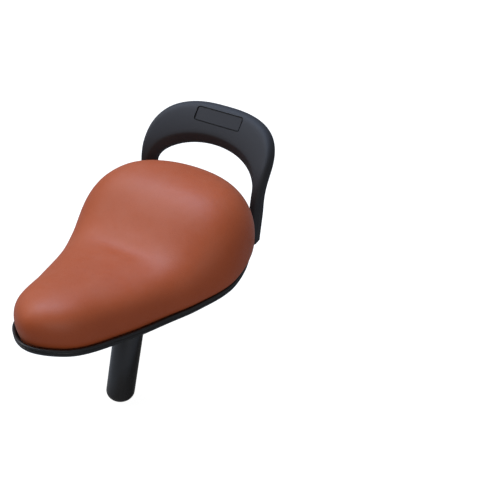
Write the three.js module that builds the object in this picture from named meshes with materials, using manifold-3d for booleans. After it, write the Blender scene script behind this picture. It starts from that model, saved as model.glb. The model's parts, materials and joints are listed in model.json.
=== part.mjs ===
// Child's bicycle saddle on a short seatpost, with a grab handle behind the seat.
// Millimetres. The origin is the centre of the seatpost's lower end, +Z is up with the
// seat level, the nose points along -Y and the saddle's left side along +X.
import * as THREE from 'three';
import { mergeVertices } from 'three/addons/utils/BufferGeometryUtils.js';
import Module from 'manifold-3d';

const wasm = await Module();
wasm.setup();

// ---- driving dimensions -------------------------------------------------------------

// The post leans back as a bicycle's seat tube does, and meets the rim plane at POST_TO_RIM.
const POST_RAKE = THREE.MathUtils.degToRad(17);
const POST_TO_RIM = 125;

// Seat: heights are measured from the rim plane, over the point where the post's axis meets it.
const RIM_BOW = 16;
const BOW_CENTRE = 4;

// Half of the seat's plan outline, from the nose to the tail, as [half width, y].
const OUTLINE = [
  [0, -118], [23, -105], [38, -70], [51.5, -33], [64, -5], [77, 33], [70.5, 76], [39, 105], [0, 114],
];
const SAMPLES_PER_SPAN = 3;

// The seat's crown is swept round a spine on its centre line.
const SPINE_NOSE = -60;
const SPINE_TAIL = 82;
const NOSE_CROWN = 35;
const SEAT_CROWN = 63.5;
const TAIL_DROP = 10.5;
const CROWN_RISE = { from: -15, to: 40 };
const WIDEST_ABOVE_RIM = 8;
const SIDE_POWER = 3.9;
const CROWN_POWER = 2.2;
const CROWN_RINGS = 8;
const TAIL_OVERHANG = 8.5;

// Layers of the seat.
const GAP = 0.35;
const COVER_THICKNESS = 1.3;
const PAN_THICKNESS = 2.4;
const HEM_WIDTH = 11;

// Plastic tray under the seat.
const LIP = { out: 2.8, above: 1.6, below: 3, bevel: 0.8, undercut: 2.6 };
const FLOOR_DROP = 10.5;
const FLOOR_THICKNESS = 2.5;
const FLOOR_INSET = { outside: -14, inside: -18 };
const CLAMP_WINDOW = { centre: -12, halfLength: 23, halfWidth: 19, depth: 10 };

// Seatpost: a drawn tube with a spun lower end and a reduced neck.
const POST = {
  radius: 12.7, neck: 11.1, wall: 2.2, endRound: 8.5, drain: 1.5, taper: 3,
};

// Clamp: a strap round the neck, four cheeks and one cross stud.
const STUD = { behindPost: 17.5, radius: 4, halfLength: 36, belowRails: 9.5 };
const NECK_ABOVE_STUD = 8;
const NECK_BELOW_STUD = 14;
const STRAP = { inner: 11.45, thickness: 3, halfHeight: 8, tailEnd: 27 };
const CHEEK = {
  hub: 11, halfLength: 15, top: 15, innerFrom: 14.8, innerTo: 21.2, outerFrom: 22.8, outerTo: 28,
};
const WASHER = { radius: 8.4, thickness: 1.5 };
const NUT = { acrossFlats: 13, thickness: 5 };
const STUD_CLEARANCE = 0.4;

// Rails: round wire from the tail bridge to the nose clip.
const RAIL = { radius: 3.5, apart: 22, drop: -22, sides: 5, steps: 30 };
const SOCKET_CLEARANCE = 0.35;
const BRIDGE = { at: 69, halfWidth: 34, halfLength: 9, depth: 10, railAt: 26 };
const NOSE_CLIP = { at: -65, halfWidth: 14, halfLength: 9, depth: 9, railAt: 8.5 };
const SOCKET_DEPTH = 12;

// Screws, all alike but for their length.
const SCREW = { head: 4, headHeight: 2.4, shank: 2, slotWidth: 1.1, slotLength: 5 };
const SCREW_CLEARANCE = 0.4;
const BOSS_RADIUS = 4.6;
const SCREW_BITE = 5.5;
const HEAD_GAP = 0.42;

// Grab handle: legs behind the seat's rear corners, leaning back to a wide flat bar.
const HANDLE = {
  frontY: 96, thickness: 14, footHalfWidth: 62, footInner: 51, leanFrom: 20, leanTo: 70,
  lean: THREE.MathUtils.degToRad(39), wrap: 9,
  shoulderHalfWidth: 64, shoulderAt: 62, outerRise: 54, outerPower: 2.65,
  holeHalfWidth: 51.5, holeShoulderAt: 46, holeRise: 33, holePower: 2,
  foot: -6, bevel: 3, legSteps: 9, archSteps: 22, bendSteps: 24,
};
const HANDLE_TAB = { at: 58, inner: 36.5, outer: 58, front: -15, back: 45.5, thickness: 5 };
const LABEL = { halfWidth: 23.5, halfHeight: 7, at: 101, depth: 1, corner: 2.5 };

// Staples that hold the cover's hem to the base pan.
const STAPLE = { count: 8, width: 7.5, wire: 1.1, leg: 3.4, inRim: 7.7 };
const STAPLE_CLEARANCE = 0.3;

// ---- finishes -------------------------------------------------------------------------

const FINISH = {
  leather: { color: 0xa5552f, roughness: 0.5, metalness: 0 },
  foam: { color: 0xd8d2b4, roughness: 0.95, metalness: 0 },
  pan: { color: 0x2a2a2c, roughness: 0.7, metalness: 0 },
  shell: { color: 0x17171a, roughness: 0.5, metalness: 0 },
  handle: { color: 0x1d1f24, roughness: 0.42, metalness: 0 },
  postPaint: { color: 0x0c0c0e, roughness: 0.25, metalness: 0.3 },
  steel: { color: 0x8d9095, roughness: 0.35, metalness: 1 },
  blackSteel: { color: 0x202124, roughness: 0.4, metalness: 0.8 },
};

// ---- geometry helpers -------------------------------------------------------------------

/** Merges shared vertices and turns the faces outwards. */
function closed(geometry) {
  geometry.deleteAttribute('normal');
  geometry.deleteAttribute('uv');
  const merged = mergeVertices(geometry, 1e-4);
  const position = merged.getAttribute('position');
  const index = merged.getIndex().array;
  const corner = [new THREE.Vector3(), new THREE.Vector3(), new THREE.Vector3()];
  let volume = 0;
  for (let i = 0; i < index.length; i += 3) {
    corner.forEach((point, k) => point.fromBufferAttribute(position, index[i + k]));
    volume += corner[0].dot(corner[1].clone().cross(corner[2]));
  }
  if (volume < 0) {
    for (let i = 0; i < index.length; i += 3) {
      [index[i], index[i + 1]] = [index[i + 1], index[i]];
    }
  }
  return merged;
}

/** Turns a closed geometry into a solid that can be joined and cut. */
function solid(geometry) {
  const merged = closed(geometry);
  return new wasm.Manifold(new wasm.Mesh({
    numProp: 3,
    vertProperties: new Float32Array(merged.getAttribute('position').array),
    triVerts: new Uint32Array(merged.getIndex().array),
  }));
}

/** Turns a joined or cut solid back into a geometry. */
function surface(body) {
  const mesh = body.getMesh();
  const geometry = new THREE.BufferGeometry();
  geometry.setAttribute('position', new THREE.BufferAttribute(mesh.vertProperties, 3));
  geometry.setIndex(new THREE.BufferAttribute(mesh.triVerts, 1));
  return geometry;
}

/** Cuts a list of tool geometries out of a base geometry. */
function cut(base, tools) {
  return surface(tools.reduce((body, tool) => body.subtract(solid(tool)), solid(base)));
}

/** Joins a list of geometries that run into each other. */
function join(pieces) {
  return surface(pieces.slice(1).reduce((body, piece) => body.add(solid(piece)), solid(pieces[0])));
}

/** Box between two corners. */
function box(low, high) {
  const size = high.map((value, axis) => value - low[axis]);
  const middle = high.map((value, axis) => (value + low[axis]) / 2);
  return new THREE.BoxGeometry(...size).translate(...middle);
}

/** Upright cylinder between two heights. */
function rod(x, y, radius, bottom, top, sides = 12) {
  const geometry = new THREE.CylinderGeometry(radius, radius, top - bottom, sides);
  return geometry.rotateX(Math.PI / 2).translate(x, y, (top + bottom) / 2);
}

/** Cylinder along X between two places. */
function crossRod(y, z, radius, from, to, sides = 20) {
  const geometry = new THREE.CylinderGeometry(radius, radius, to - from, sides);
  return geometry.rotateZ(Math.PI / 2).translate((from + to) / 2, y, z);
}

/** Extrudes a shape drawn in Y and Z along X between two places. */
function slab(shape, from, to) {
  const geometry = new THREE.ExtrudeGeometry(shape, {
    depth: to - from, bevelEnabled: false, curveSegments: 8,
  });
  const turn = new THREE.Matrix4().makeBasis(
    new THREE.Vector3(0, 1, 0),
    new THREE.Vector3(0, 0, 1),
    new THREE.Vector3(1, 0, 0),
  );
  return geometry.applyMatrix4(turn).translate(from, 0, 0);
}

/** Joins rings of equal length into one skin; the first and last ring close on the spine. */
function loft(rings, capped = false) {
  const count = rings[0].length;
  const positions = rings.flat().flatMap((point) => point.toArray());
  const index = [];
  for (let r = 0; r < rings.length - 1; r += 1) {
    for (let i = 0; i < count; i += 1) {
      const a = r * count + i;
      const b = r * count + ((i + 1) % count);
      index.push(a, b, a + count, b, b + count, a + count);
    }
  }
  if (capped) {
    const last = (rings.length - 1) * count;
    for (let i = 1; i < count - 1; i += 1) {
      index.push(0, i + 1, i, last, last + i, last + i + 1);
    }
  }
  const geometry = new THREE.BufferGeometry();
  geometry.setAttribute('position', new THREE.Float32BufferAttribute(positions, 3));
  geometry.setIndex(index);
  return closed(geometry);
}

/** Closed skin between an outer and an inner run of rings that both end on the spine. */
function skinLoft(outer, inner) {
  const count = outer[0].length;
  const positions = [outer, inner].flat(2).flatMap((point) => point.toArray());
  const index = [];
  const strip = (low, high, flip) => {
    for (let i = 0; i < count; i += 1) {
      const next = (i + 1) % count;
      const faces = [[low + i, low + next, high + i], [low + next, high + next, high + i]];
      faces.forEach(([a, b, c]) => index.push(...(flip ? [a, c, b] : [a, b, c])));
    }
  };
  for (let r = 0; r < outer.length - 1; r += 1) {
    strip(r * count, (r + 1) * count, false);
  }
  const start = outer.length * count;
  for (let r = 0; r < inner.length - 1; r += 1) {
    strip(start + r * count, start + (r + 1) * count, true);
  }
  strip(start, 0, false);
  const geometry = new THREE.BufferGeometry();
  geometry.setAttribute('position', new THREE.Float32BufferAttribute(positions, 3));
  geometry.setIndex(index);
  return closed(geometry);
}

/** Pan-head screw with a crossed recess, pointing up from the seat of its head. */
function screwGeometry(length) {
  const { head, headHeight, shank } = SCREW;
  const profile = [
    [0, -headHeight], [head - 1, -headHeight], [head, -headHeight + 1], [head, 0],
    [shank, 0], [shank, length - 1], [shank * 0.5, length], [0, length],
  ].map(([r, z]) => new THREE.Vector2(r, z));
  const body = new THREE.LatheGeometry(profile, 10).rotateX(Math.PI / 2);
  const half = SCREW.slotLength / 2;
  const thin = SCREW.slotWidth / 2;
  const low = -headHeight - 1;
  const high = -headHeight + 1.3;
  return cut(body, [
    box([-half, -thin, low], [half, thin, high]),
    box([-thin, -half, low], [thin, half, high]),
  ]);
}

/** Smooth step from 0 to 1 between two values. */
const ease = (value, from, to) => THREE.MathUtils.smoothstep(value, from, to);

/** Named mesh with its own material. */
function part(name, geometry, finish) {
  const mesh = new THREE.Mesh(geometry, new THREE.MeshStandardMaterial(finish));
  mesh.name = name;
  return mesh;
}

// ---- the seat's outline ---------------------------------------------------------------------

/** Height of the rim above the rim plane: it rises towards the nose and the tail. */
const rimRise = (y) => RIM_BOW * ((y - BOW_CENTRE) / 100) ** 2;

/** Frame at a height above the rim, tilted with the rim's bow. */
function bowFrame(x, y, height) {
  const slope = Math.atan((2 * RIM_BOW * (y - BOW_CENTRE)) / 1e4);
  return new THREE.Matrix4().makeRotationX(slope).setPosition(x, y, rimRise(y) + height);
}

/** Frame on the underside of the tray's floor. */
const floorFrame = (x, y) => bowFrame(x, y, -FLOOR_DROP);

/** Height of the crown above the rim, along the spine. */
function crownHeight(y) {
  const climb = ease(y, CROWN_RISE.from, CROWN_RISE.to);
  const fall = Math.max(0, (y - CROWN_RISE.to) / (SPINE_TAIL - CROWN_RISE.to));
  return NOSE_CROWN + (SEAT_CROWN - NOSE_CROWN) * climb - TAIL_DROP * fall * fall;
}

/** Samples round the outline: widest point, rim point, spine point and the way out. */
function outlineSamples() {
  const half = OUTLINE.map(([x, y]) => new THREE.Vector3(x, y, 0));
  const mirrored = half.slice(1, -1).reverse().map((p) => new THREE.Vector3(-p.x, p.y, 0));
  const curve = new THREE.CatmullRomCurve3([...half, ...mirrored], true, 'centripetal');
  const count = (half.length + mirrored.length) * SAMPLES_PER_SPAN;
  const nose = OUTLINE[0][1];
  const tail = OUTLINE[OUTLINE.length - 1][1];
  const middle = (SPINE_NOSE + SPINE_TAIL) / 2;
  const reach = (SPINE_TAIL - SPINE_NOSE) / 2;
  return Array.from({ length: count }, (_, i) => {
    const widest = curve.getPoint(i / count);
    const spine = new THREE.Vector3(0, middle + reach * Math.tanh((widest.y - middle) / reach), 0);
    const out = widest.clone().sub(spine);
    const distance = out.length();
    out.normalize();
    const along = (widest.y - nose) / (tail - nose);
    const rim = widest.clone().addScaledVector(out, -TAIL_OVERHANG * along * along);
    return { widest, rim, spine, out, distance };
  });
}

const samples = outlineSamples();

/** Ring that follows the rim: out is past the rim, height is above it. */
function rimRing(out, height) {
  return samples.map((sample) => {
    const offset = Math.max(out, -0.55 * sample.distance);
    const point = sample.rim.clone().addScaledVector(sample.out, offset);
    return point.setZ(rimRise(point.y) + height);
  });
}

/** Rings at a height above the rim, from a distance inside it to the spine. */
function plateRings(out, height) {
  const edge = rimRing(out, height);
  return [0, 0.5, 1].map((share) => samples.map(({ spine }, i) => {
    const point = edge[i].clone().lerp(spine, share);
    return point.setZ(rimRise(point.y) + height);
  }));
}

/** Rings of the crowned seat, from its widest line to the spine, at a depth under its skin. */
function crownRings(depth) {
  return Array.from({ length: CROWN_RINGS + 1 }, (_, step) => {
    const share = Math.cos((step / CROWN_RINGS) * (Math.PI / 2));
    return samples.map(({ widest, spine, out }) => {
      const edge = widest.clone().addScaledVector(out, -depth);
      const point = spine.clone().lerp(edge, step === CROWN_RINGS ? 0 : share);
      const rise = crownHeight(point.y) - depth - WIDEST_ABOVE_RIM;
      const swell = Math.max(0, 1 - share ** SIDE_POWER) ** (1 / CROWN_POWER);
      return point.setZ(rimRise(point.y) + WIDEST_ABOVE_RIM + rise * swell);
    });
  });
}

// ---- the seat ---------------------------------------------------------------------------------

const PAN_TOP = 0.3;
const PAN_BOTTOM = PAN_TOP - PAN_THICKNESS;
const PAN_INSET = -GAP - COVER_THICKNESS - GAP;
const HEM_TOP = PAN_BOTTOM - GAP;
const HEM_BOTTOM = HEM_TOP - COVER_THICKNESS;
const BOSS_END = FLOOR_THICKNESS + GAP;
const PAN_ABOVE_FLOOR = FLOOR_DROP + PAN_BOTTOM;

/** Stretched cover: a skin over the foam, turned under the base pan. */
function coverGeometry() {
  return skinLoft([
    rimRing(-HEM_WIDTH, HEM_BOTTOM),
    rimRing(-GAP - 1, HEM_BOTTOM),
    rimRing(-GAP, HEM_BOTTOM + 0.8),
    rimRing(-GAP, LIP.above + 0.6),
    ...crownRings(0),
  ], [
    rimRing(-HEM_WIDTH, HEM_TOP),
    rimRing(-GAP - COVER_THICKNESS, HEM_TOP),
    rimRing(-GAP - COVER_THICKNESS, LIP.above + 0.6),
    ...crownRings(COVER_THICKNESS),
  ]);
}

/** Moulded foam between the pan and the cover. */
function foamGeometry() {
  const under = COVER_THICKNESS + GAP;
  return loft([
    ...plateRings(PAN_INSET - 3, PAN_TOP + GAP).reverse(),
    rimRing(PAN_INSET, PAN_TOP + GAP + 0.6),
    rimRing(PAN_INSET, LIP.above + 0.6),
    ...crownRings(under),
  ]);
}

/** Places of the screws that come up from under the seat, as [x, y]. */
const HANDLE_SCREWS = [[-42, 50], [42, 50], [-42, 66], [42, 66]];
const BRIDGE_SCREWS = [[-14, 69], [14, 69]];
const CLIP_SCREWS = [[0, -69.5], [0, -60.5]];
const SHELL_SCREWS = [[-41, 6], [41, 6], [-20, -50], [20, -50]];
const ALL_SCREWS = [...HANDLE_SCREWS, ...BRIDGE_SCREWS, ...CLIP_SCREWS, ...SHELL_SCREWS];

/** Staples round the hem: each is the place between two samples of the rim. */
function staplePlaces() {
  const every = Math.floor(samples.length / STAPLE.count);
  return Array.from({ length: STAPLE.count }, (_, i) => {
    const sample = samples[(i * every + 2) % samples.length];
    const at = sample.rim.clone().addScaledVector(sample.out, -STAPLE.inRim);
    const along = Math.atan2(-sample.out.x, sample.out.y);
    return { at, along };
  });
}

/** Staple or, with a clearance, the hole that it leaves in the hem and the pan. */
function stapleGeometry({ at, along }, clearance = 0) {
  const half = STAPLE.width / 2 + clearance;
  const thick = STAPLE.wire / 2 + clearance;
  const crown = box([-half, -thick, -GAP - STAPLE.wire], [half, thick, -GAP]);
  const legs = [-1, 1].map((side) => {
    const inner = side * (STAPLE.width / 2 - STAPLE.wire - clearance);
    const outer = side * half;
    return box(
      [Math.min(inner, outer), -thick, -GAP - STAPLE.wire],
      [Math.max(inner, outer), thick, STAPLE.leg + clearance],
    );
  });
  return join([crown, ...legs]).rotateZ(along).applyMatrix4(bowFrame(at.x, at.y, HEM_BOTTOM));
}

/** Base pan: the plate that the foam sits on, with a boss for each screw. */
function panGeometry() {
  const plate = loft([
    ...plateRings(PAN_INSET - 3, PAN_BOTTOM).reverse(),
    rimRing(PAN_INSET, PAN_BOTTOM),
    rimRing(PAN_INSET, PAN_TOP),
    ...plateRings(PAN_INSET - 3, PAN_TOP),
  ]);
  const bosses = ALL_SCREWS.map(([x, y]) => (
    rod(0, 0, BOSS_RADIUS, BOSS_END, PAN_ABOVE_FLOOR + 1).applyMatrix4(floorFrame(x, y))
  ));
  const pilots = ALL_SCREWS.map(([x, y]) => (
    rod(0, 0, SCREW.shank + GAP, BOSS_END - 1, BOSS_END + SCREW_BITE + GAP, 10)
      .applyMatrix4(floorFrame(x, y))
  ));
  return cut(join([plate, ...bosses]), [
    ...pilots,
    ...staplePlaces().map((place) => stapleGeometry(place, STAPLE_CLEARANCE)),
  ]);
}

/** Tray that closes the seat from below, with the lip that shows all round it. */
function shellGeometry() {
  const tray = loft([
    ...plateRings(FLOOR_INSET.outside, -FLOOR_DROP).reverse(),
    rimRing(LIP.out - 2, -LIP.below - LIP.undercut),
    rimRing(LIP.out, -LIP.below),
    rimRing(LIP.out, LIP.above - LIP.bevel),
    rimRing(LIP.out - LIP.bevel, LIP.above),
    rimRing(LIP.bevel, LIP.above),
    rimRing(0, LIP.above - LIP.bevel),
    rimRing(0, HEM_BOTTOM - 0.9),
    ...plateRings(FLOOR_INSET.inside, FLOOR_THICKNESS - FLOOR_DROP),
  ]);
  const holes = ALL_SCREWS.map(([x, y]) => (
    rod(0, 0, SCREW.shank + SCREW_CLEARANCE, -1, FLOOR_THICKNESS + 1, 10)
      .applyMatrix4(floorFrame(x, y))
  ));
  const window = new THREE.CylinderGeometry(1, 1, CLAMP_WINDOW.depth, 28).rotateX(Math.PI / 2)
    .scale(CLAMP_WINDOW.halfWidth, CLAMP_WINDOW.halfLength, 1)
    .translate(0, CLAMP_WINDOW.centre, -FLOOR_DROP);
  return cut(tray, [...holes, window]);
}

// ---- the rails and their holders ------------------------------------------------------------------

/** Point on a rail's axis inside or before its socket, a distance out of the holder's middle. */
function socketPoint(holder, side, along) {
  return new THREE.Vector3(side * holder.railAt, along, -GAP - holder.depth / 2)
    .applyMatrix4(floorFrame(0, holder.at));
}

/** One rail, from its socket in the nose clip to its socket in the bridge. */
function railGeometry(side) {
  const { apart, drop, radius, sides, steps } = RAIL;
  const blind = NOSE_CLIP.halfLength - SOCKET_DEPTH + 1;
  const straight = [-25, -21, 10, 39, 43].map((y) => new THREE.Vector3(side * apart, y, drop));
  const path = new THREE.CatmullRomCurve3([
    socketPoint(NOSE_CLIP, side, blind),
    socketPoint(NOSE_CLIP, side, NOSE_CLIP.halfLength + 1),
    socketPoint(NOSE_CLIP, side, NOSE_CLIP.halfLength + 4),
    ...straight,
    socketPoint(BRIDGE, side, -BRIDGE.halfLength - 4),
    socketPoint(BRIDGE, side, -BRIDGE.halfLength - 1),
    socketPoint(BRIDGE, side, -blind),
  ], false, 'centripetal');
  const section = new THREE.Shape();
  section.absarc(0, 0, radius, 0, Math.PI * 2);
  return new THREE.ExtrudeGeometry(section, {
    extrudePath: path, steps, curveSegments: sides, bevelEnabled: false,
  });
}

/** Block under the tray with a blind socket for each rail, open to the clamp's side. */
function railHolder(holder, openSide, screws) {
  const { at, halfWidth, halfLength, depth, railAt } = holder;
  const corner = 3;
  const section = new THREE.Shape();
  section.absarc(-halfWidth + corner, -depth + corner, corner, Math.PI, Math.PI * 1.5);
  section.absarc(halfWidth - corner, -depth + corner, corner, Math.PI * 1.5, Math.PI * 2);
  section.lineTo(halfWidth, 0);
  section.lineTo(-halfWidth, 0);
  const body = new THREE.ExtrudeGeometry(section, {
    depth: 2 * halfLength, bevelEnabled: false, curveSegments: 4,
  }).rotateX(Math.PI / 2).translate(0, halfLength, -GAP);
  const bore = RAIL.radius + SOCKET_CLEARANCE;
  const sockets = [-1, 1].map((side) => (
    new THREE.CylinderGeometry(bore, bore, SOCKET_DEPTH + 1, 16).translate(
      side * railAt, openSide * (halfLength + 1 - (SOCKET_DEPTH + 1) / 2), -GAP - depth / 2,
    )
  ));
  const holes = screws.map(([x, y]) => (
    rod(x, y - at, SCREW.shank + SCREW_CLEARANCE, -depth - 1, 1, 10)
  ));
  return cut(body, [...sockets, ...holes]).applyMatrix4(floorFrame(0, at));
}

// ---- the grab handle -------------------------------------------------------------------------------

/** Point on the handle: across, up its face, and in depth behind the face, which wraps forward. */
function handlePoint(across, up, behind) {
  const { leanFrom, leanTo, lean, frontY, wrap, shoulderHalfWidth, bendSteps: steps } = HANDLE;
  const sideways = Math.abs(across / shoulderHalfWidth) ** 3;
  const depth = behind - wrap * sideways * ease(up, leanFrom, leanTo);
  let y = frontY;
  let z = Math.min(up, leanFrom);
  let angle = 0;
  if (up > leanFrom) {
    const stride = (up - leanFrom) / steps;
    for (let i = 0; i < steps; i += 1) {
      angle = lean * ease(leanFrom + (i + 0.5) * stride, leanFrom, leanTo);
      y += Math.sin(angle) * stride;
      z += Math.cos(angle) * stride;
    }
    angle = lean * ease(up, leanFrom, leanTo);
  }
  return new THREE.Vector3(across, y + depth * Math.cos(angle), z - depth * Math.sin(angle));
}

/** Outline of half an arch with straight legs, as [across, up] from the right foot to the left. */
function archLine(footHalf, shoulderHalf, shoulderAt, rise, power) {
  const { foot, legSteps, archSteps } = HANDLE;
  const leg = Array.from({ length: legSteps }, (_, i) => {
    const share = i / legSteps;
    return [footHalf + (shoulderHalf - footHalf) * share, foot + (shoulderAt - foot) * share];
  });
  const arch = Array.from({ length: archSteps + 1 }, (_, i) => {
    const turn = (i / archSteps) * Math.PI;
    const across = Math.sign(Math.cos(turn)) * Math.abs(Math.cos(turn)) ** (2 / power);
    return [shoulderHalf * across, shoulderAt + rise * Math.abs(Math.sin(turn)) ** (2 / power)];
  });
  return [...leg, ...arch, ...leg.map(([a, u]) => [-a, u]).reverse()];
}

/** Loop of the handle: an eight-sided section swept from foot to foot. */
function handleLoop() {
  const outer = archLine(
    HANDLE.footHalfWidth, HANDLE.shoulderHalfWidth, HANDLE.shoulderAt,
    HANDLE.outerRise, HANDLE.outerPower,
  );
  const inner = archLine(
    HANDLE.footInner, HANDLE.holeHalfWidth, HANDLE.holeShoulderAt,
    HANDLE.holeRise, HANDLE.holePower,
  );
  const deep = HANDLE.thickness;
  const bevel = HANDLE.bevel;
  const rings = outer.map(([ao, uo], i) => {
    const [ai, ui] = inner[i];
    const width = Math.hypot(ao - ai, uo - ui);
    const step = Math.min(0.3, bevel / width);
    const between = (share, depth) => (
      handlePoint(ai + (ao - ai) * share, ui + (uo - ui) * share, depth)
    );
    return [
      between(0, bevel), between(step, 0), between(1 - step, 0), between(1, bevel),
      between(1, deep - bevel), between(1 - step, deep),
      between(step, deep), between(0, deep - bevel),
    ];
  });
  return loft(rings, true);
}

/** Handle with its two tabs, their screw holes and the flat recess on its face. */
function handleGeometry() {
  const { at, inner, outer, front, back, thickness } = HANDLE_TAB;
  const tabs = [-1, 1].map((side) => box(
    [Math.min(side * inner, side * outer), front, -GAP - thickness],
    [Math.max(side * inner, side * outer), back, -GAP],
  ).applyMatrix4(floorFrame(0, at)));
  const holes = HANDLE_SCREWS.map(([x, y]) => (
    rod(0, 0, SCREW.shank + SCREW_CLEARANCE, -thickness - 3, 2, 10).applyMatrix4(floorFrame(x, y))
  ));
  return cut(join([handleLoop(), ...tabs]), [...holes, labelTool()]);
}

/** Tool for the shallow rounded recess in the middle of the handle's bar. */
function labelTool() {
  const { halfWidth: w, halfHeight: h, corner: c, at, depth } = LABEL;
  const plate = new THREE.Shape();
  plate.absarc(w - c, -h + c, c, -Math.PI / 2, 0);
  plate.absarc(w - c, h - c, c, 0, Math.PI / 2);
  plate.absarc(-w + c, h - c, c, Math.PI / 2, Math.PI);
  plate.absarc(-w + c, -h + c, c, Math.PI, Math.PI * 1.5);
  const tool = new THREE.ExtrudeGeometry(plate, {
    depth: depth + 5, bevelEnabled: false, curveSegments: 4,
  });
  const centre = handlePoint(0, at, depth);
  const outward = handlePoint(0, at, 0).sub(centre).normalize();
  const across = new THREE.Vector3(1, 0, 0);
  const up = outward.clone().cross(across);
  const turn = new THREE.Matrix4().makeBasis(across, up, outward);
  return tool.applyMatrix4(turn).translate(centre.x, centre.y, centre.z);
}

// ---- the clamp and the post ------------------------------------------------------------------------

const railsBelowRim = RAIL.drop - STUD.belowRails;
const rimToStud = (railsBelowRim + STUD.behindPost * Math.sin(POST_RAKE)) / Math.cos(POST_RAKE);
const studY = STUD.behindPost * Math.cos(POST_RAKE) + rimToStud * Math.sin(POST_RAKE);
const studHeight = POST_TO_RIM + rimToStud;

/** Seatpost tube: spun end with a drain hole, straight body, reduced neck. */
function postGeometry() {
  const { radius, neck, wall, endRound, drain, taper } = POST;
  const shoulder = studHeight - NECK_BELOW_STUD;
  const top = studHeight + NECK_ABOVE_STUD;
  const arc = (centre, height, size, steps) => Array.from({ length: steps + 1 }, (_, i) => {
    const turn = (i / steps) * (Math.PI / 2);
    return [centre + size * Math.sin(turn), height - size * Math.cos(turn)];
  });
  const flat = radius - endRound;
  const outside = [
    [drain, 0], ...arc(flat, endRound, endRound, 6),
    [radius, shoulder - taper], [neck, shoulder], [neck, top - 0.8], [neck - 0.8, top],
  ];
  const inside = [
    [neck - wall, top], [neck - wall, shoulder - 1], [radius - wall, shoulder - taper - 2],
    ...arc(flat, endRound, endRound - wall, 4).reverse(), [drain, wall], [drain, 0],
  ];
  const profile = [...outside, ...inside].map(([r, z]) => new THREE.Vector2(r, z));
  return new THREE.LatheGeometry(profile, 30).rotateX(Math.PI / 2);
}

/** Strap bent round the neck, its two flat arms holding the stud behind it. */
function strapGeometry() {
  const { inner, thickness, halfHeight, tailEnd } = STRAP;
  const outer = inner + thickness;
  const strap = new THREE.Shape();
  strap.moveTo(outer, tailEnd);
  strap.lineTo(inner, tailEnd);
  strap.lineTo(inner, 0);
  strap.absarc(0, 0, inner, 0, -Math.PI, true);
  strap.lineTo(-inner, tailEnd);
  strap.lineTo(-outer, tailEnd);
  strap.lineTo(-outer, 0);
  strap.absarc(0, 0, outer, -Math.PI, 0, false);
  const body = new THREE.ExtrudeGeometry(strap, {
    depth: 2 * halfHeight, bevelEnabled: false, curveSegments: 14,
  }).translate(0, 0, studHeight - halfHeight);
  return cut(body, [
    crossRod(STUD.behindPost, studHeight, STUD.radius + STUD_CLEARANCE, -outer - 1, outer + 1),
  ]);
}

/** Cheek: a hub round the stud with a shoulder that carries half of a rail's groove. */
function cheekGeometry(from, to, side) {
  const { hub, halfLength, top } = CHEEK;
  const corner = 2;
  const cheek = new THREE.Shape();
  cheek.absarc(0, 0, hub, Math.PI * 1.05, -Math.PI * 0.05, false);
  cheek.lineTo(halfLength, 4);
  cheek.absarc(halfLength - corner, top - corner, corner, 0, Math.PI / 2);
  cheek.absarc(-halfLength + corner, top - corner, corner, Math.PI / 2, Math.PI);
  cheek.lineTo(-halfLength, 4);
  const body = slab(cheek, Math.min(side * from, side * to), Math.max(side * from, side * to));
  const groove = new THREE.CylinderGeometry(
    RAIL.radius + SOCKET_CLEARANCE, RAIL.radius + SOCKET_CLEARANCE, 2 * halfLength + 2, 20,
  ).translate(side * RAIL.apart, 0, STUD.belowRails);
  const bore = crossRod(
    0, 0, STUD.radius + STUD_CLEARANCE,
    Math.min(side * from, side * to) - 1, Math.max(side * from, side * to) + 1,
  );
  return cut(body, [groove, bore]).translate(0, studY, railsBelowRim);
}

/** Threaded stud that draws the clamp together. */
function studGeometry() {
  const { radius, halfLength } = STUD;
  const profile = [
    [0, -halfLength], [radius - 1, -halfLength], [radius, -halfLength + 1],
    [radius, halfLength - 1], [radius - 1, halfLength], [0, halfLength],
  ].map(([r, z]) => new THREE.Vector2(r, z));
  return new THREE.LatheGeometry(profile, 20).rotateZ(Math.PI / 2).translate(0, studY, railsBelowRim);
}

/** Flat ring or six-sided nut on the stud. */
function studRing(radius, sides, from, thickness, side) {
  const low = side > 0 ? from : -from - thickness;
  const blank = crossRod(studY, railsBelowRim, radius, low, low + thickness, sides);
  const hole = crossRod(
    studY, railsBelowRim, STUD.radius + STUD_CLEARANCE, low - 1, low + thickness + 1,
  );
  return cut(blank, [hole]);
}

// ---- the assembly ----------------------------------------------------------------------------------

const saddle = new THREE.Group();
saddle.position.set(0, POST_TO_RIM * Math.sin(POST_RAKE), POST_TO_RIM * Math.cos(POST_RAKE));

const staples = staplePlaces();
saddle.add(
  part('cover', cut(coverGeometry(), staples.map((place) => (
    stapleGeometry(place, STAPLE_CLEARANCE)
  ))), FINISH.leather),
  part('foam_pad', foamGeometry(), FINISH.foam),
  part('base_pan', panGeometry(), FINISH.pan),
  part('lower_shell', shellGeometry(), FINISH.shell),
  part('grab_handle', handleGeometry(), FINISH.handle),
  part('rear_bridge', railHolder(BRIDGE, -1, BRIDGE_SCREWS), FINISH.shell),
  part('nose_clip', railHolder(NOSE_CLIP, 1, CLIP_SCREWS), FINISH.shell),
  part('clamp_stud', studGeometry(), FINISH.steel),
);

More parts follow.
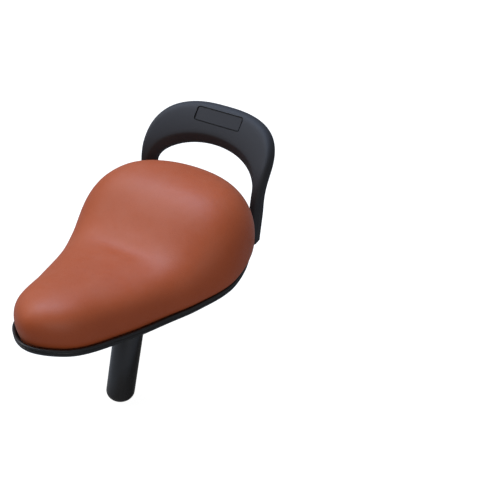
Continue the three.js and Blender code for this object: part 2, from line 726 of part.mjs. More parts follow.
for (const [word, side] of [['left', 1], ['right', -1]]) {
  const washerFrom = CHEEK.outerTo + GAP;
  const nutFrom = washerFrom + WASHER.thickness + GAP;
  const nutRadius = NUT.acrossFlats / Math.sqrt(3);
  const innerCheek = cheekGeometry(CHEEK.innerFrom, CHEEK.innerTo, side);
  const outerCheek = cheekGeometry(CHEEK.outerFrom, CHEEK.outerTo, side);
  const washer = studRing(WASHER.radius, 24, washerFrom, WASHER.thickness, side);
  const nut = studRing(nutRadius, 6, nutFrom, NUT.thickness, side);
  saddle.add(
    part(`rail_${word}`, railGeometry(side), FINISH.blackSteel),
    part(`inner_cheek_${word}`, innerCheek, FINISH.blackSteel),
    part(`outer_cheek_${word}`, outerCheek, FINISH.blackSteel),
    part(`clamp_washer_${word}`, washer, FINISH.steel),
    part(`clamp_nut_${word}`, nut, FINISH.steel),
  );
}

/** Adds a row of screws whose heads bear a distance below the tray's floor. */
function addScrews(name, places, bearing) {
  const length = BOSS_END + SCREW_BITE + bearing;
  places.forEach(([x, y], i) => {
    const screw = part(`${name}_${i + 1}`, screwGeometry(length), FINISH.steel);
    screw.position.z = -bearing;
    screw.applyMatrix4(floorFrame(x, y));
    saddle.add(screw);
  });
}

addScrews('handle_screw', HANDLE_SCREWS, HANDLE_TAB.thickness + GAP + HEAD_GAP);
addScrews('bridge_screw', BRIDGE_SCREWS, BRIDGE.depth + GAP + HEAD_GAP);
addScrews('clip_screw', CLIP_SCREWS, NOSE_CLIP.depth + GAP + HEAD_GAP);
addScrews('shell_screw', SHELL_SCREWS, GAP);

staples.forEach((place, i) => {
  saddle.add(part(`staple_${i + 1}`, stapleGeometry(place), FINISH.steel));
});

const post = new THREE.Group();
post.rotation.x = -POST_RAKE;
post.add(
  part('seatpost', postGeometry(), FINISH.postPaint),
  part('clamp_strap', strapGeometry(), FINISH.blackSteel),
);

const object = new THREE.Group();
object.add(post, saddle);

export default object;
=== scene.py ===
"""Looks of a child's bicycle saddle with a grab handle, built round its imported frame.

The cover, foam, tray, handle, rails and seatpost are made here as smooth meshes. The clamp, the
screws and the other small parts keep their own solids and get softened edges and real finishes.
Lengths are in metres, in the frame's own coordinates: +Z up, the nose towards -Y.
"""

from __future__ import annotations

import json
import logging
import math
from abc import ABC, abstractmethod
from dataclasses import dataclass, field
from enum import Enum
from functools import cached_property
from typing import Any, Sequence

import bmesh
import bpy
import numpy as np
from mathutils import Matrix, Vector


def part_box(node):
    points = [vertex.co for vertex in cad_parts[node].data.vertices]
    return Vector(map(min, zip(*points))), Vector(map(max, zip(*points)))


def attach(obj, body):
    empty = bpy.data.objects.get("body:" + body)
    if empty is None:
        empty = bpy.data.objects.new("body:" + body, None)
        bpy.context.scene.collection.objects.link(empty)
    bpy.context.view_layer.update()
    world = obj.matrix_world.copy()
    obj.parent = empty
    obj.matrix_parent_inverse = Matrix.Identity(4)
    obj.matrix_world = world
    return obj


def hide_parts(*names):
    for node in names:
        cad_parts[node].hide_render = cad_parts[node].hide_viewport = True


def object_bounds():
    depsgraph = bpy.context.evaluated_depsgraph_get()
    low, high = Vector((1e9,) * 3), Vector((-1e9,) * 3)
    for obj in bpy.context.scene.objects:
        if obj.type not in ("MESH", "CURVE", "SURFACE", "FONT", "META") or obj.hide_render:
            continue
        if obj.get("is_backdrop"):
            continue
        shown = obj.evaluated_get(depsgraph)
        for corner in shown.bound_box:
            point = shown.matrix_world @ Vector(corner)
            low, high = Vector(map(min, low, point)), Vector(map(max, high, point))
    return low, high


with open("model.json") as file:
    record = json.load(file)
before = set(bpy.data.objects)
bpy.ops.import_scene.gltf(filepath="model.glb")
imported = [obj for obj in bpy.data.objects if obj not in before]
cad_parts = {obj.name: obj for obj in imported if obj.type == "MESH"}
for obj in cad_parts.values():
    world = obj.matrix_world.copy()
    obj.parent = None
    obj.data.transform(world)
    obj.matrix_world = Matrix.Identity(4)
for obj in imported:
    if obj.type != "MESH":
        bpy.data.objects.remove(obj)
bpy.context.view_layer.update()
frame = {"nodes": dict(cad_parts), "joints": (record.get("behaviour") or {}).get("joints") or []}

log = logging.getLogger("saddle")

MM = 0.001
Colour = tuple[float, float, float]
Rings = list[np.ndarray]


class Body(Enum):
    """The rigid bodies of the saddle, from the bicycle upwards."""

    POST = "post"
    STRAP = "strap"
    CRADLE = "cradle"
    SADDLE = "saddle"


# ---- mesh work ---------------------------------------------------------------------------


def new_piece(name: str, points: np.ndarray, faces: Sequence[Sequence[int]]) -> bpy.types.Object:
    """Makes a mesh object whose faces look outwards.

    Args:
        name: The piece's name.
        points: Corner positions, one row each.
        faces: Corner numbers of each face.

    Returns:
        The object, linked to the scene.
    """
    mesh = bpy.data.meshes.new(name)
    mesh.from_pydata([tuple(point) for point in points], [], [tuple(face) for face in faces])
    work = bmesh.new()
    work.from_mesh(mesh)
    bmesh.ops.remove_doubles(work, verts=work.verts, dist=1e-6)
    bmesh.ops.dissolve_degenerate(work, edges=work.edges, dist=1e-6)
    bmesh.ops.recalc_face_normals(work, faces=work.faces)
    work.to_mesh(mesh)
    work.free()
    piece = bpy.data.objects.new(name, mesh)
    bpy.context.scene.collection.objects.link(piece)
    return piece


def loft(name: str, rings: Rings, capped: bool = False) -> bpy.types.Object:
    """Skins a run of closed rings that have the same number of points.

    Args:
        name: The piece's name.
        rings: The rings, in order.
        capped: Whether the first and the last ring are filled.

    Returns:
        The skinned object.
    """
    count = len(rings[0])
    faces: list[Sequence[int]] = []
    for row in range(len(rings) - 1):
        for i in range(count):
            a = row * count + i
            b = row * count + (i + 1) % count
            faces.append((a, b, b + count, a + count))
    if capped:
        faces.append(list(range(count))[::-1])
        faces.append([(len(rings) - 1) * count + i for i in range(count)])
    return new_piece(name, np.concatenate(rings), faces)


def smooth_shading(piece: bpy.types.Object, sharp_from: float = 40.0) -> None:
    """Shades a piece smooth and keeps its real edges sharp.

    Args:
        piece: The object to shade.
        sharp_from: Edges that bend more than this, in degrees, stay sharp.
    """
    piece.data.shade_smooth()
    piece.data.set_sharp_from_angle(angle=math.radians(sharp_from))


def settle(piece: bpy.types.Object) -> None:
    """Replaces a piece's mesh with the result of its modifiers."""
    depsgraph = bpy.context.evaluated_depsgraph_get()
    done = bpy.data.meshes.new_from_object(piece.evaluated_get(depsgraph))
    piece.modifiers.clear()
    piece.data = done


def combine(piece: bpy.types.Object, tool: bpy.types.Object, operation: str) -> None:
    """Joins a tool to a piece or cuts it out, and removes the tool.

    Args:
        piece: The object that stays.
        tool: The object that is used up.
        operation: UNION or DIFFERENCE.
    """
    step = piece.modifiers.new("work", "BOOLEAN")
    step.operation = operation
    step.solver = "EXACT"
    step.use_self = operation == "DIFFERENCE"
    step.object = tool
    settle(piece)
    bpy.data.objects.remove(tool)


def soften_edges(piece: bpy.types.Object, width: float, segments: int = 2) -> None:
    """Rounds the sharp edges of a piece with a bevel modifier.

    Args:
        piece: The object to soften.
        width: Width of the rounding in metres.
        segments: Facets across the rounding.
    """
    weld = piece.modifiers.new("weld", "WELD")
    weld.merge_threshold = 0.01 * MM
    bevel = piece.modifiers.new("edge", "BEVEL")
    bevel.width = width
    bevel.segments = segments
    bevel.limit_method = "ANGLE"
    bevel.angle_limit = math.radians(35)
    bevel.use_clamp_overlap = True


def spline(points: Sequence[Sequence[float]], per_span: int, closed: bool) -> np.ndarray:
    """Centripetal curve through points.

    Args:
        points: The points that the curve passes through.
        per_span: Samples between two points.
        closed: Whether the curve runs back to its first point.

    Returns:
        The samples, one row each.
    """
    knots = np.array(points, float)
    total = len(knots)
    if not closed:
        knots = np.concatenate([[2 * knots[0] - knots[1]], knots, [2 * knots[-1] - knots[-2]]])
    samples = []
    for span in range(total if closed else total - 1):
        if closed:
            p = [knots[(span + k - 1) % total] for k in range(4)]
        else:
            p = [knots[span + k] for k in range(4)]
        gap = [math.sqrt(np.linalg.norm(p[k + 1] - p[k])) for k in range(3)]
        leave = (p[1] - p[0]) / gap[0] - (p[2] - p[0]) / (gap[0] + gap[1]) + (p[2] - p[1]) / gap[1]
        reach = (p[2] - p[1]) / gap[1] - (p[3] - p[1]) / (gap[1] + gap[2]) + (p[3] - p[2]) / gap[2]
        leave, reach = leave * gap[1], reach * gap[1]
        for i in range(per_span):
            t = i / per_span
            samples.append(
                p[1] + leave * t
                + (3 * (p[2] - p[1]) - 2 * leave - reach) * t**2
                + (2 * (p[1] - p[2]) + leave + reach) * t**3
            )
    if not closed:
        samples.append(knots[-2])
    return np.array(samples)


def smooth_step(value: np.ndarray | float, low: float, high: float) -> Any:
    """Rises smoothly from 0 to 1 between two values.

    Args:
        value: The number or numbers to look up.
        low: Value at which the rise starts.
        high: Value at which it ends.

    Returns:
        The share reached, from 0 to 1.
    """
    share = np.clip((value - low) / (high - low), 0, 1)
    return share * share * (3 - 2 * share)


def tube(name: str, path: np.ndarray, radius: float) -> bpy.types.Object:
    """Round bar along a path.

    Args:
        name: The piece's name.
        path: Points on the bar's axis.
        radius: The bar's radius.

    Returns:
        The bar as a mesh object.
    """
    curve = bpy.data.curves.new(name, "CURVE")
    curve.dimensions = "3D"
    curve.bevel_depth = radius
    curve.bevel_resolution = 6
    curve.use_fill_caps = True
    line = curve.splines.new("POLY")
    line.points.add(len(path) - 1)
    for point, place in zip(line.points, path):
        point.co = (*place, 1)
    bent = bpy.data.objects.new(name, curve)
    bpy.context.scene.collection.objects.link(bent)
    depsgraph = bpy.context.evaluated_depsgraph_get()
    mesh = bpy.data.meshes.new_from_object(bent.evaluated_get(depsgraph))
    bpy.data.objects.remove(bent)
    piece = bpy.data.objects.new(name, mesh)
    bpy.context.scene.collection.objects.link(piece)
    return piece


def lathe(name: str, profile: Sequence[tuple[float, float]], segments: int) -> bpy.types.Object:
    """Turns a closed profile about the Z axis.

    Args:
        name: The piece's name.
        profile: Radius and height of each corner, in order.
        segments: Facets round the axis.

    Returns:
        The turned object.
    """
    turns = np.arange(segments) * 2 * math.pi / segments
    rings = [np.stack([r * np.cos(turns), r * np.sin(turns), np.full(segments, z)], 1)
             for r, z in [*profile, profile[0]]]
    return loft(name, rings)


def block(name: str, low: Sequence[float], high: Sequence[float], bevel: float) -> bpy.types.Object:
    """Box with rounded edges.

    Args:
        name: The piece's name.
        low: Lowest corner.
        high: Highest corner.
        bevel: Radius of its edges.

    Returns:
        The box.
    """
    corners = np.array([[x, y, z] for x in (low[0], high[0]) for y in (low[1], high[1])
                        for z in (low[2], high[2])])
    faces = [(0, 1, 3, 2), (4, 6, 7, 5), (0, 4, 5, 1), (2, 3, 7, 6), (0, 2, 6, 4), (1, 5, 7, 3)]
    piece = new_piece(name, corners, faces)
    soften_edges(piece, bevel, 3)
    settle(piece)
    return piece


# ---- shared shader effects ------------------------------------------------------------------


class Board:
    """Short-hand for adding and joining nodes in one node tree."""

    def __init__(self, tree: bpy.types.NodeTree) -> None:
        """Keeps the tree and empties it."""
        self.tree = tree
        tree.nodes.clear()

    def add(self, kind: str, inputs: dict[str | int, Any] | None = None, **settings: Any) -> Any:
        """Adds a node.

        Args:
            kind: The node's type.
            inputs: Values or sockets for its inputs, by name or number.
            **settings: The node's own settings.

        Returns:
            The node.
        """
        node = self.tree.nodes.new(kind)
        for key, value in settings.items():
            setattr(node, key, value)
        for key, value in (inputs or {}).items():
            if isinstance(value, bpy.types.NodeSocket):
                self.tree.links.new(value, node.inputs[key])
            else:
                node.inputs[key].default_value = value
        return node

    def feed(self, shader: Any, **values: Any) -> None:
        """Sets or joins inputs of a shader.

        Args:
            shader: The shader.
            **values: Values or sockets for its inputs, with _ for a space in a name.
        """
        for name, value in values.items():
            socket = shader.inputs[name.replace("_", " ")]
            if isinstance(value, bpy.types.NodeSocket):
                self.tree.links.new(value, socket)
            else:
                socket.default_value = value

    def sum(self, operation: str, first: Any, second: Any = 0.0) -> bpy.types.NodeSocket:
        """Works out a value from two others.

        Args:
            operation: The Math node's operation.
            first: Its first value.
            second: Its second value.

        Returns:
            The result.
        """
        return self.add("ShaderNodeMath", {0: first, 1: second}, operation=operation).outputs[0]

    def noise(self, place: Any, scale: Any, detail: float, roughness: float = 0.5) -> Any:
        """Adds a noise texture.

        Args:
            place: Place on the object.
            scale: Its scale.
            detail: Its number of octaves.
            roughness: Share of the finer octaves.

        Returns:
            The texture node.
        """
        return self.add("ShaderNodeTexNoise", {
            "Vector": place, "Scale": scale, "Detail": detail, "Roughness": roughness,
        })

    def stretch(self, value: Any, low: float, high: float, to_low: float = 0.0,
                to_high: float = 1.0) -> bpy.types.NodeSocket:
        """Maps a value from one range to another.

        Args:
            value: The socket to map.
            low: Value that becomes to_low.
            high: Value that becomes to_high.
            to_low: Result at low.
            to_high: Result at high.

        Returns:
            The mapped value.
        """
        node = self.add("ShaderNodeMapRange",
                        {0: value, 1: low, 2: high, 3: to_low, 4: to_high})
        return node.outputs[0]

    def mix(self, share: Any, first: Any, second: Any) -> bpy.types.NodeSocket:
        """Mixes two colours.

        Args:
            share: Share of the second colour.
            first: The first colour.
            second: The second colour.

        Returns:
            The mixed colour.
        """
        node = self.add("ShaderNodeMix", data_type="RGBA")
        for socket, value in ((0, share), (6, first), (7, second)):
            if isinstance(value, bpy.types.NodeSocket):
                self.tree.links.new(value, node.inputs[socket])
            elif socket == 0:
                node.inputs[0].default_value = value
            else:
                node.inputs[socket].default_value = (*value, 1.0)
        return node.outputs[2]


class Effect(Enum):
    """Surface effects that several finishes share."""

    DRIFT = "slow_drift"
    PEBBLE = "pebble_grain"
    SPARK = "spark_texture"
    WEAR = "edge_wear"
    DUST = "settled_dust"
    BRUSH = "brushed_lines"


class EffectLibrary:
    """Builds each shared node group once and places it in materials."""

    def __init__(self) -> None:
        """Starts with no group built."""
        self.groups: dict[Effect, bpy.types.NodeTree] = {}

    def group(self, effect: Effect) -> bpy.types.NodeTree:
        """Returns the node group of an effect, built the first time it is asked for."""
        if effect not in self.groups:
            makers = {
                Effect.DRIFT: self._drift, Effect.PEBBLE: self._pebble, Effect.SPARK: self._spark,
                Effect.WEAR: self._wear, Effect.DUST: self._dust, Effect.BRUSH: self._brush,
            }
            self.groups[effect] = makers[effect]()
        return self.groups[effect]

    def place(self, board: Board, effect: Effect, **values: Any) -> Any:
        """Places an effect in a material.

        Args:
            board: The material's board.
            effect: The effect.
            **values: Its inputs, with _ for a space in a name.

        Returns:
            The group node.
        """
        node = board.add("ShaderNodeGroup", node_tree=self.group(effect))
        board.feed(node, **values)
        return node

    @staticmethod
    def _start(effect: Effect, inputs: dict[str, float], output: str) -> tuple[Board, Any, Any]:
        """Makes an empty group with a vector input, number inputs and one number output.

        Args:
            effect: The effect, whose value names the group.
            inputs: Default of each number input.
            output: Name of the output.

        Returns:
            The board, the group's input node and its output node.
        """
        tree = bpy.data.node_groups.new(effect.value, "ShaderNodeTree")
        tree.interface.new_socket("Place", in_out="INPUT", socket_type="NodeSocketVector")
        for name, default in inputs.items():
            socket = tree.interface.new_socket(name, in_out="INPUT", socket_type="NodeSocketFloat")
            socket.default_value = default
        tree.interface.new_socket(output, in_out="OUTPUT", socket_type="NodeSocketFloat")
        board = Board(tree)
        return board, board.add("NodeGroupInput"), board.add("NodeGroupOutput")

    def _drift(self) -> bpy.types.NodeTree:
        """Slow, cloudy variation between 0 and 1."""
        board, start, end = self._start(Effect.DRIFT, {"Scale": 20.0, "Contrast": 1.0}, "Share")
        noise = board.noise(start.outputs["Place"], start.outputs["Scale"], 4.0, 0.55)
        centred = board.sum("SUBTRACT", noise.outputs[0], 0.5)
        spread = board.sum("MULTIPLY", centred, start.outputs["Contrast"])
        board.tree.links.new(board.stretch(spread, -0.5, 0.5), end.inputs[0])
        return board.tree

    def _pebble(self) -> bpy.types.NodeTree:
        """Rounded grains with fine creases between them and small pores."""
        board, start, end = self._start(Effect.PEBBLE, {"Scale": 900.0, "Crease": 0.18}, "Height")
        place = start.outputs["Place"]
        bend = board.noise(place, board.sum("MULTIPLY", start.outputs["Scale"], 0.35), 2.0)
        shift = board.add("ShaderNodeVectorMath", {0: bend.outputs["Color"], 3: 0.0012},
                          operation="SCALE")
        moved = board.add("ShaderNodeVectorMath", {0: place, 1: shift.outputs[0]}, operation="ADD")
        cells = board.add("ShaderNodeTexVoronoi", {
            "Vector": moved.outputs[0], "Scale": start.outputs["Scale"], "Randomness": 0.9,
        }, feature="DISTANCE_TO_EDGE")
        grain = board.add("ShaderNodeMapRange", {
            0: cells.outputs[0], 1: 0.0, 2: start.outputs["Crease"], 3: 0.0, 4: 1.0,
        }, interpolation_type="SMOOTHSTEP")
        pores = board.noise(place, board.sum("MULTIPLY", start.outputs["Scale"], 2.4), 2.0)
        fine = board.stretch(pores.outputs[0], 0.3, 0.7, -0.15, 0.15)
        board.tree.links.new(board.sum("ADD", grain.outputs[0], fine), end.inputs[0])
        return board.tree

    def _spark(self) -> bpy.types.NodeTree:
        """Fine pitted texture of a spark-eroded mould."""
        board, start, end = self._start(Effect.SPARK, {"Scale": 1600.0}, "Height")
        coarse = board.noise(start.outputs["Place"], start.outputs["Scale"], 3.0, 0.6)
        pits = board.add("ShaderNodeTexVoronoi", {
            "Vector": start.outputs["Place"],
            "Scale": board.sum("MULTIPLY", start.outputs["Scale"], 0.7),
        }, feature="SMOOTH_F1")
        low = board.sum("MULTIPLY", pits.outputs[0], 0.5)
        board.tree.links.new(board.sum("ADD", coarse.outputs[0], low), end.inputs[0])
        return board.tree

    def _wear(self) -> bpy.types.NodeTree:
        """Broken-up mask along outside edges."""
        board, start, end = self._start(Effect.WEAR, {"Scale": 160.0, "Amount": 0.5}, "Mask")
        edge = board.add("ShaderNodeNewGeometry").outputs["Pointiness"]
        along = board.stretch(edge, 0.52, 0.6)
        noise = board.noise(start.outputs["Place"], start.outputs["Scale"], 5.0, 0.65)
        broken = board.stretch(noise.outputs[0], 0.4, 0.65)
        worn = board.sum("MULTIPLY", along, broken)
        worn = board.sum("MULTIPLY", worn, start.outputs["Amount"])
        board.tree.links.new(worn, end.inputs[0])
        return board.tree

    def _dust(self) -> bpy.types.NodeTree:
        """Thin uneven dust on faces that look up."""
        board, start, end = self._start(Effect.DUST, {"Scale": 60.0, "Amount": 0.1}, "Mask")
        normal = board.add("ShaderNodeNewGeometry").outputs["Normal"]
        parts = board.add("ShaderNodeSeparateXYZ", {0: normal})
        upward = board.stretch(parts.outputs[2], 0.2, 1.0)
        noise = board.noise(start.outputs["Place"], start.outputs["Scale"], 6.0, 0.7)
        patchy = board.stretch(noise.outputs[0], 0.35, 0.75)
        dust = board.sum("MULTIPLY", upward, patchy)
        dust = board.sum("MULTIPLY", dust, start.outputs["Amount"])
        board.tree.links.new(dust, end.inputs[0])
        return board.tree

    def _brush(self) -> bpy.types.NodeTree:
        """Fine parallel lines across the X axis."""
        board, start, end = self._start(Effect.BRUSH, {"Scale": 300.0}, "Height")
        thin = board.add("ShaderNodeMapping", {"Vector": start.outputs["Place"],
                                               "Scale": (12.0, 1.0, 1.0)})
        noise = board.noise(thin.outputs[0], start.outputs["Scale"], 3.0)
        board.tree.links.new(noise.outputs[0], end.inputs[0])
        return board.tree


EFFECTS = EffectLibrary()


# ---- finishes -------------------------------------------------------------------------------


@dataclass(frozen=True)
class Finish(ABC):
    """A surface finish that can make its own material."""

    name: str
    slot: str

    def material(self) -> bpy.types.Material:
        """Returns this finish's material, built the first time it is asked for."""
        known = bpy.data.materials.get(self.name)
        if known:
            return known
        material = bpy.data.materials.new(self.name)
        material.use_nodes = True
        board = Board(material.node_tree)
        shader = board.add("ShaderNodeBsdfPrincipled")
        output = board.add("ShaderNodeOutputMaterial")
        board.tree.links.new(shader.outputs[0], output.inputs[0])
        place = board.add("ShaderNodeTexCoord").outputs["Object"]
        self.dress(board, shader, place)
        return material

    @abstractmethod
    def dress(self, board: Board, shader: Any, place: bpy.types.NodeSocket) -> None:
        """Adds the finish's nodes to a material.

        Args:
            board: The material's board.
            shader: Its Principled BSDF.
            place: Place on the object.
        """

    @staticmethod
    def bump(board: Board, shader: Any, height: Any, depth: float, strength: float = 1.0) -> None:
        """Feeds a height into the shader's normal.

        Args:
            board: The material's board.
            shader: Its Principled BSDF.
            height: The height socket.
            depth: Real depth of the relief in metres.
            strength: Share of the relief that shows.
        """
        node = board.add("ShaderNodeBump", {"Height": height, "Distance": depth,
                                            "Strength": strength})
        board.tree.links.new(node.outputs[0], shader.inputs["Normal"])


@dataclass(frozen=True)
class Leatherette(Finish):
    """Smooth coated cloth with a fine pebble grain and a satin face."""

    colour: Colour = (0.42, 0.082, 0.022)
    # deep gives both the random darker clouds and the painted shade in the grain's creases
    deep: Colour = (0.27, 0.042, 0.012)
    rubbed: Colour = (0.47, 0.115, 0.038)
    dusty: Colour = (0.55, 0.45, 0.38)

    def dress(self, board: Board, shader: Any, place: bpy.types.NodeSocket) -> None:
        """Adds grain with painted shade in its creases, slow colour drift, small lighter rubbed
        patches and thin dust.
        """
        grain = EFFECTS.place(board, Effect.PEBBLE, Place=place, Scale=1150.0, Crease=0.2)
        drift = EFFECTS.place(board, Effect.DRIFT, Place=place, Scale=14.0, Contrast=1.3)
        fine = EFFECTS.place(board, Effect.DRIFT, Place=place, Scale=120.0, Contrast=1.0)
        dust = EFFECTS.place(board, Effect.DUST, Place=place, Scale=45.0, Amount=0.05)
        cloudy = board.stretch(drift.outputs[0], 0.2, 0.8, 0.0, 0.22)
        base = board.mix(cloudy, self.colour, self.deep)
        rub = board.sum("MULTIPLY", fine.outputs[0], 0.16)
        base = board.mix(rub, base, self.rubbed)
        # Painted shade: the creases between the grains are darkened towards the deep colour.
        crease_shade = board.stretch(grain.outputs[0], 0.0, 0.6, 0.3, 0.0)
        base = board.mix(crease_shade, base, self.deep)
        base = board.mix(dust.outputs[0], base, self.dusty)
        board.feed(shader, Base_Color=base)
        rough = board.stretch(drift.outputs[0], 0.0, 1.0, 0.44, 0.52)
        rough = board.sum("ADD", rough, board.stretch(grain.outputs[0], 0.0, 1.0, 0.05, 0.0))
        board.feed(shader, Roughness=rough)
        board.feed(shader, Specular_IOR_Level=0.36, Sheen_Weight=0.08, Sheen_Roughness=0.4,
                   Sheen_Tint=(1.0, 0.8, 0.7, 1.0))
        self.bump(board, shader, grain.outputs[0], 0.00006, 0.55)


@dataclass(frozen=True)
class Foam(Finish):
    """Open-cell cushion foam."""

    colour: Colour = (0.72, 0.66, 0.44)
    yellowed: Colour = (0.55, 0.44, 0.22)
    # Colour of the painted shade in the foam's open cells
    hollow_shade: Colour = (0.3, 0.25, 0.13)

    def dress(self, board: Board, shader: Any, place: bpy.types.NodeSocket) -> None:
        """Adds cells with painted shade in their hollows, and yellowing."""
        cells = EFFECTS.place(board, Effect.PEBBLE, Place=place, Scale=700.0, Crease=0.35)
        drift = EFFECTS.place(board, Effect.DRIFT, Place=place, Scale=25.0, Contrast=1.2)
        cloudy = board.stretch(drift.outputs[0], 0.0, 1.0, 0.0, 0.5)
        base = board.mix(cloudy, self.colour, self.yellowed)
        # Painted shade: the hollows of the cells are darkened.
        hollow_shade = board.stretch(cells.outputs[0], 0.0, 1.0, 0.5, 0.0)
        base = board.mix(hollow_shade, base, self.hollow_shade)
        board.feed(shader, Base_Color=base)
        board.feed(shader, Roughness=0.95)
        self.bump(board, shader, cells.outputs[0], 0.0005)


@dataclass(frozen=True)
class MouldedPlastic(Finish):
    """Black moulded plastic with a fine mould texture and paler worn edges."""

    colour: Colour = (0.006, 0.006, 0.007)
    worn: Colour = (0.05, 0.05, 0.054)
    roughness: float = 0.4
    texture: float = 1400.0
    relief: float = 0.00005
    wear: float = 0.5
    dust: float = 0.06
    dusty: Colour = (0.3, 0.29, 0.27)

    def dress(self, board: Board, shader: Any, place: bpy.types.NodeSocket) -> None:
        """Adds mould texture, worn edges, dust and slow gloss changes."""
        spark = EFFECTS.place(board, Effect.SPARK, Place=place, Scale=self.texture)
        drift = EFFECTS.place(board, Effect.DRIFT, Place=place, Scale=30.0, Contrast=1.4)
        wear = EFFECTS.place(board, Effect.WEAR, Place=place, Scale=220.0, Amount=self.wear)
        dust = EFFECTS.place(board, Effect.DUST, Place=place, Scale=70.0, Amount=self.dust)
        pale = tuple(1.5 * channel for channel in self.colour)
        base = board.mix(drift.outputs[0], self.colour, pale)
        base = board.mix(wear.outputs[0], base, self.worn)
        base = board.mix(dust.outputs[0], base, self.dusty)
        board.feed(shader, Base_Color=base)
        rough = board.stretch(drift.outputs[0], 0.0, 1.0, self.roughness - 0.05,
                              self.roughness + 0.07)
        rough = board.sum("ADD", rough, board.sum("MULTIPLY", wear.outputs[0], 0.15))
        rough = board.sum("ADD", rough, board.sum("MULTIPLY", dust.outputs[0], 0.6))
        board.feed(shader, Roughness=rough)
        board.feed(shader, Specular_IOR_Level=0.5)
        self.bump(board, shader, spark.outputs[0], self.relief, 0.6)


@dataclass(frozen=True)
class GlossPaint(Finish):
    """Deep gloss paint under a clear coat, with faint orange peel."""

    colour: Colour = (0.006, 0.006, 0.007)
    clouded: Colour = (0.014, 0.014, 0.016)
    primer: Colour = (0.12, 0.12, 0.125)

    def dress(self, board: Board, shader: Any, place: bpy.types.NodeSocket) -> None:
        """Adds orange peel, fine scratches and wear to bare primer at the edges."""
        peel = EFFECTS.place(board, Effect.DRIFT, Place=place, Scale=520.0, Contrast=1.0)
        drift = EFFECTS.place(board, Effect.DRIFT, Place=place, Scale=40.0, Contrast=1.5)
        wear = EFFECTS.place(board, Effect.WEAR, Place=place, Scale=300.0, Amount=0.35)
        base = board.mix(drift.outputs[0], self.colour, self.clouded)
        base = board.mix(wear.outputs[0], base, self.primer)
        board.feed(shader, Base_Color=base)
        rough = board.stretch(drift.outputs[0], 0.0, 1.0, 0.2, 0.32)
        board.feed(shader, Roughness=rough)
        board.feed(shader, Coat_Weight=0.7, Coat_Roughness=0.08)
        self.bump(board, shader, peel.outputs[0], 0.00003, 0.5)


@dataclass(frozen=True)
class Steel(Finish):
    """Plated or blackened steel with brushed lines and bright worn edges."""

    colour: Colour = (0.52, 0.52, 0.5)
    tint: Colour = (0.42, 0.42, 0.44)
    bright: Colour = (0.65, 0.65, 0.65)
    metallic: float = 1.0
    roughness: float = 0.34
    wear: float = 0.5

    def dress(self, board: Board, shader: Any, place: bpy.types.NodeSocket) -> None:
        """Adds brushed lines, clouded plating and wear."""
        lines = EFFECTS.place(board, Effect.BRUSH, Place=place, Scale=420.0)
        drift = EFFECTS.place(board, Effect.DRIFT, Place=place, Scale=160.0, Contrast=1.6)
        wear = EFFECTS.place(board, Effect.WEAR, Place=place, Scale=500.0, Amount=self.wear)
        base = board.mix(drift.outputs[0], self.colour, self.tint)
        base = board.mix(wear.outputs[0], base, self.bright)
        board.feed(shader, Base_Color=base)
        rough = board.stretch(lines.outputs[0], 0.3, 0.7, self.roughness - 0.06,
                              self.roughness + 0.1)
        board.feed(shader, Roughness=rough)
        board.feed(shader, Metallic=self.metallic)
        self.bump(board, shader, lines.outputs[0], 0.00002, 0.5)


@dataclass(frozen=True)
class PaleFloor(Finish):
    """Plain matt studio paper."""

    colour: Colour = (0.24, 0.24, 0.24)
    glow: float = 0.95

    def dress(self, board: Board, shader: Any, place: bpy.types.NodeSocket) -> None:
        """Adds the faintest cloudiness, and a glow that lights nothing else."""
        seen = board.add("ShaderNodeLightPath").outputs["Is Camera Ray"]
        board.feed(shader, Emission_Color=(1.0, 1.0, 1.0, 1.0),
                   Emission_Strength=board.sum("MULTIPLY", seen, self.glow))
        drift = EFFECTS.place(board, Effect.DRIFT, Place=place, Scale=3.0, Contrast=0.6)
        base = board.mix(drift.outputs[0], self.colour, tuple(0.985 * c for c in self.colour))
        board.feed(shader, Base_Color=base)
        board.feed(shader, Roughness=0.9)


LEATHERETTE = Leatherette("brown_leatherette", "leatherette")
FOAM = Foam("cushion_foam", "foam")
TRAY_PLASTIC = MouldedPlastic("tray_plastic", "shell_plastic", roughness=0.36)
PAN_PLASTIC = MouldedPlastic("pan_plastic", "pan_plastic", (0.03, 0.03, 0.033), roughness=0.58,
                             texture=900.0, relief=0.0001)
HANDLE_PLASTIC = MouldedPlastic("handle_plastic", "handle_plastic", (0.006, 0.0072, 0.0105),
                                roughness=0.3, relief=0.00006)
POST_PAINT = GlossPaint("gloss_black_paint", "post_paint")
ZINC = Steel("zinc_plated_steel", "zinc_steel")
BLACK_STEEL = Steel("black_oxide_steel", "black_steel", (0.03, 0.03, 0.032), (0.045, 0.043, 0.042),
                    (0.32, 0.32, 0.32), metallic=0.75, roughness=0.42)
FLOOR = PaleFloor("studio_paper", "")


def dress_piece(piece: bpy.types.Object, finish: Finish, body: Body,
                stands_for: Sequence[str]) -> None:
    """Gives a new piece its finish, its body and the solids that it stands for.

    Args:
        piece: The new piece.
        finish: Its finish.
        body: The body that it rides on.
        stands_for: Nodes that it replaces.
    """
    piece.data.materials.clear()
    piece.data.materials.append(finish.material())
    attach(piece, body.value)
    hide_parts(*stands_for)
    log.info("piece %s rides on %s and stands for %s", piece.name, body.value,
             ", ".join(stands_for))


def dress_node(name: str, finish: Finish, edge: float) -> None:
    """Softens the edges of a frame solid and gives it a finish.

    Args:
        name: The solid's name.
        finish: Its finish.
        edge: Width of the rounding on its edges, 0 for none.
    """
    node = frame["nodes"][name]
    node.data.materials.clear()
    node.data.materials.append(finish.material())
    if edge:
        soften_edges(node, edge)
    log.info("solid %s is finished in %s", name, finish.name)


# ---- the seat -------------------------------------------------------------------------------


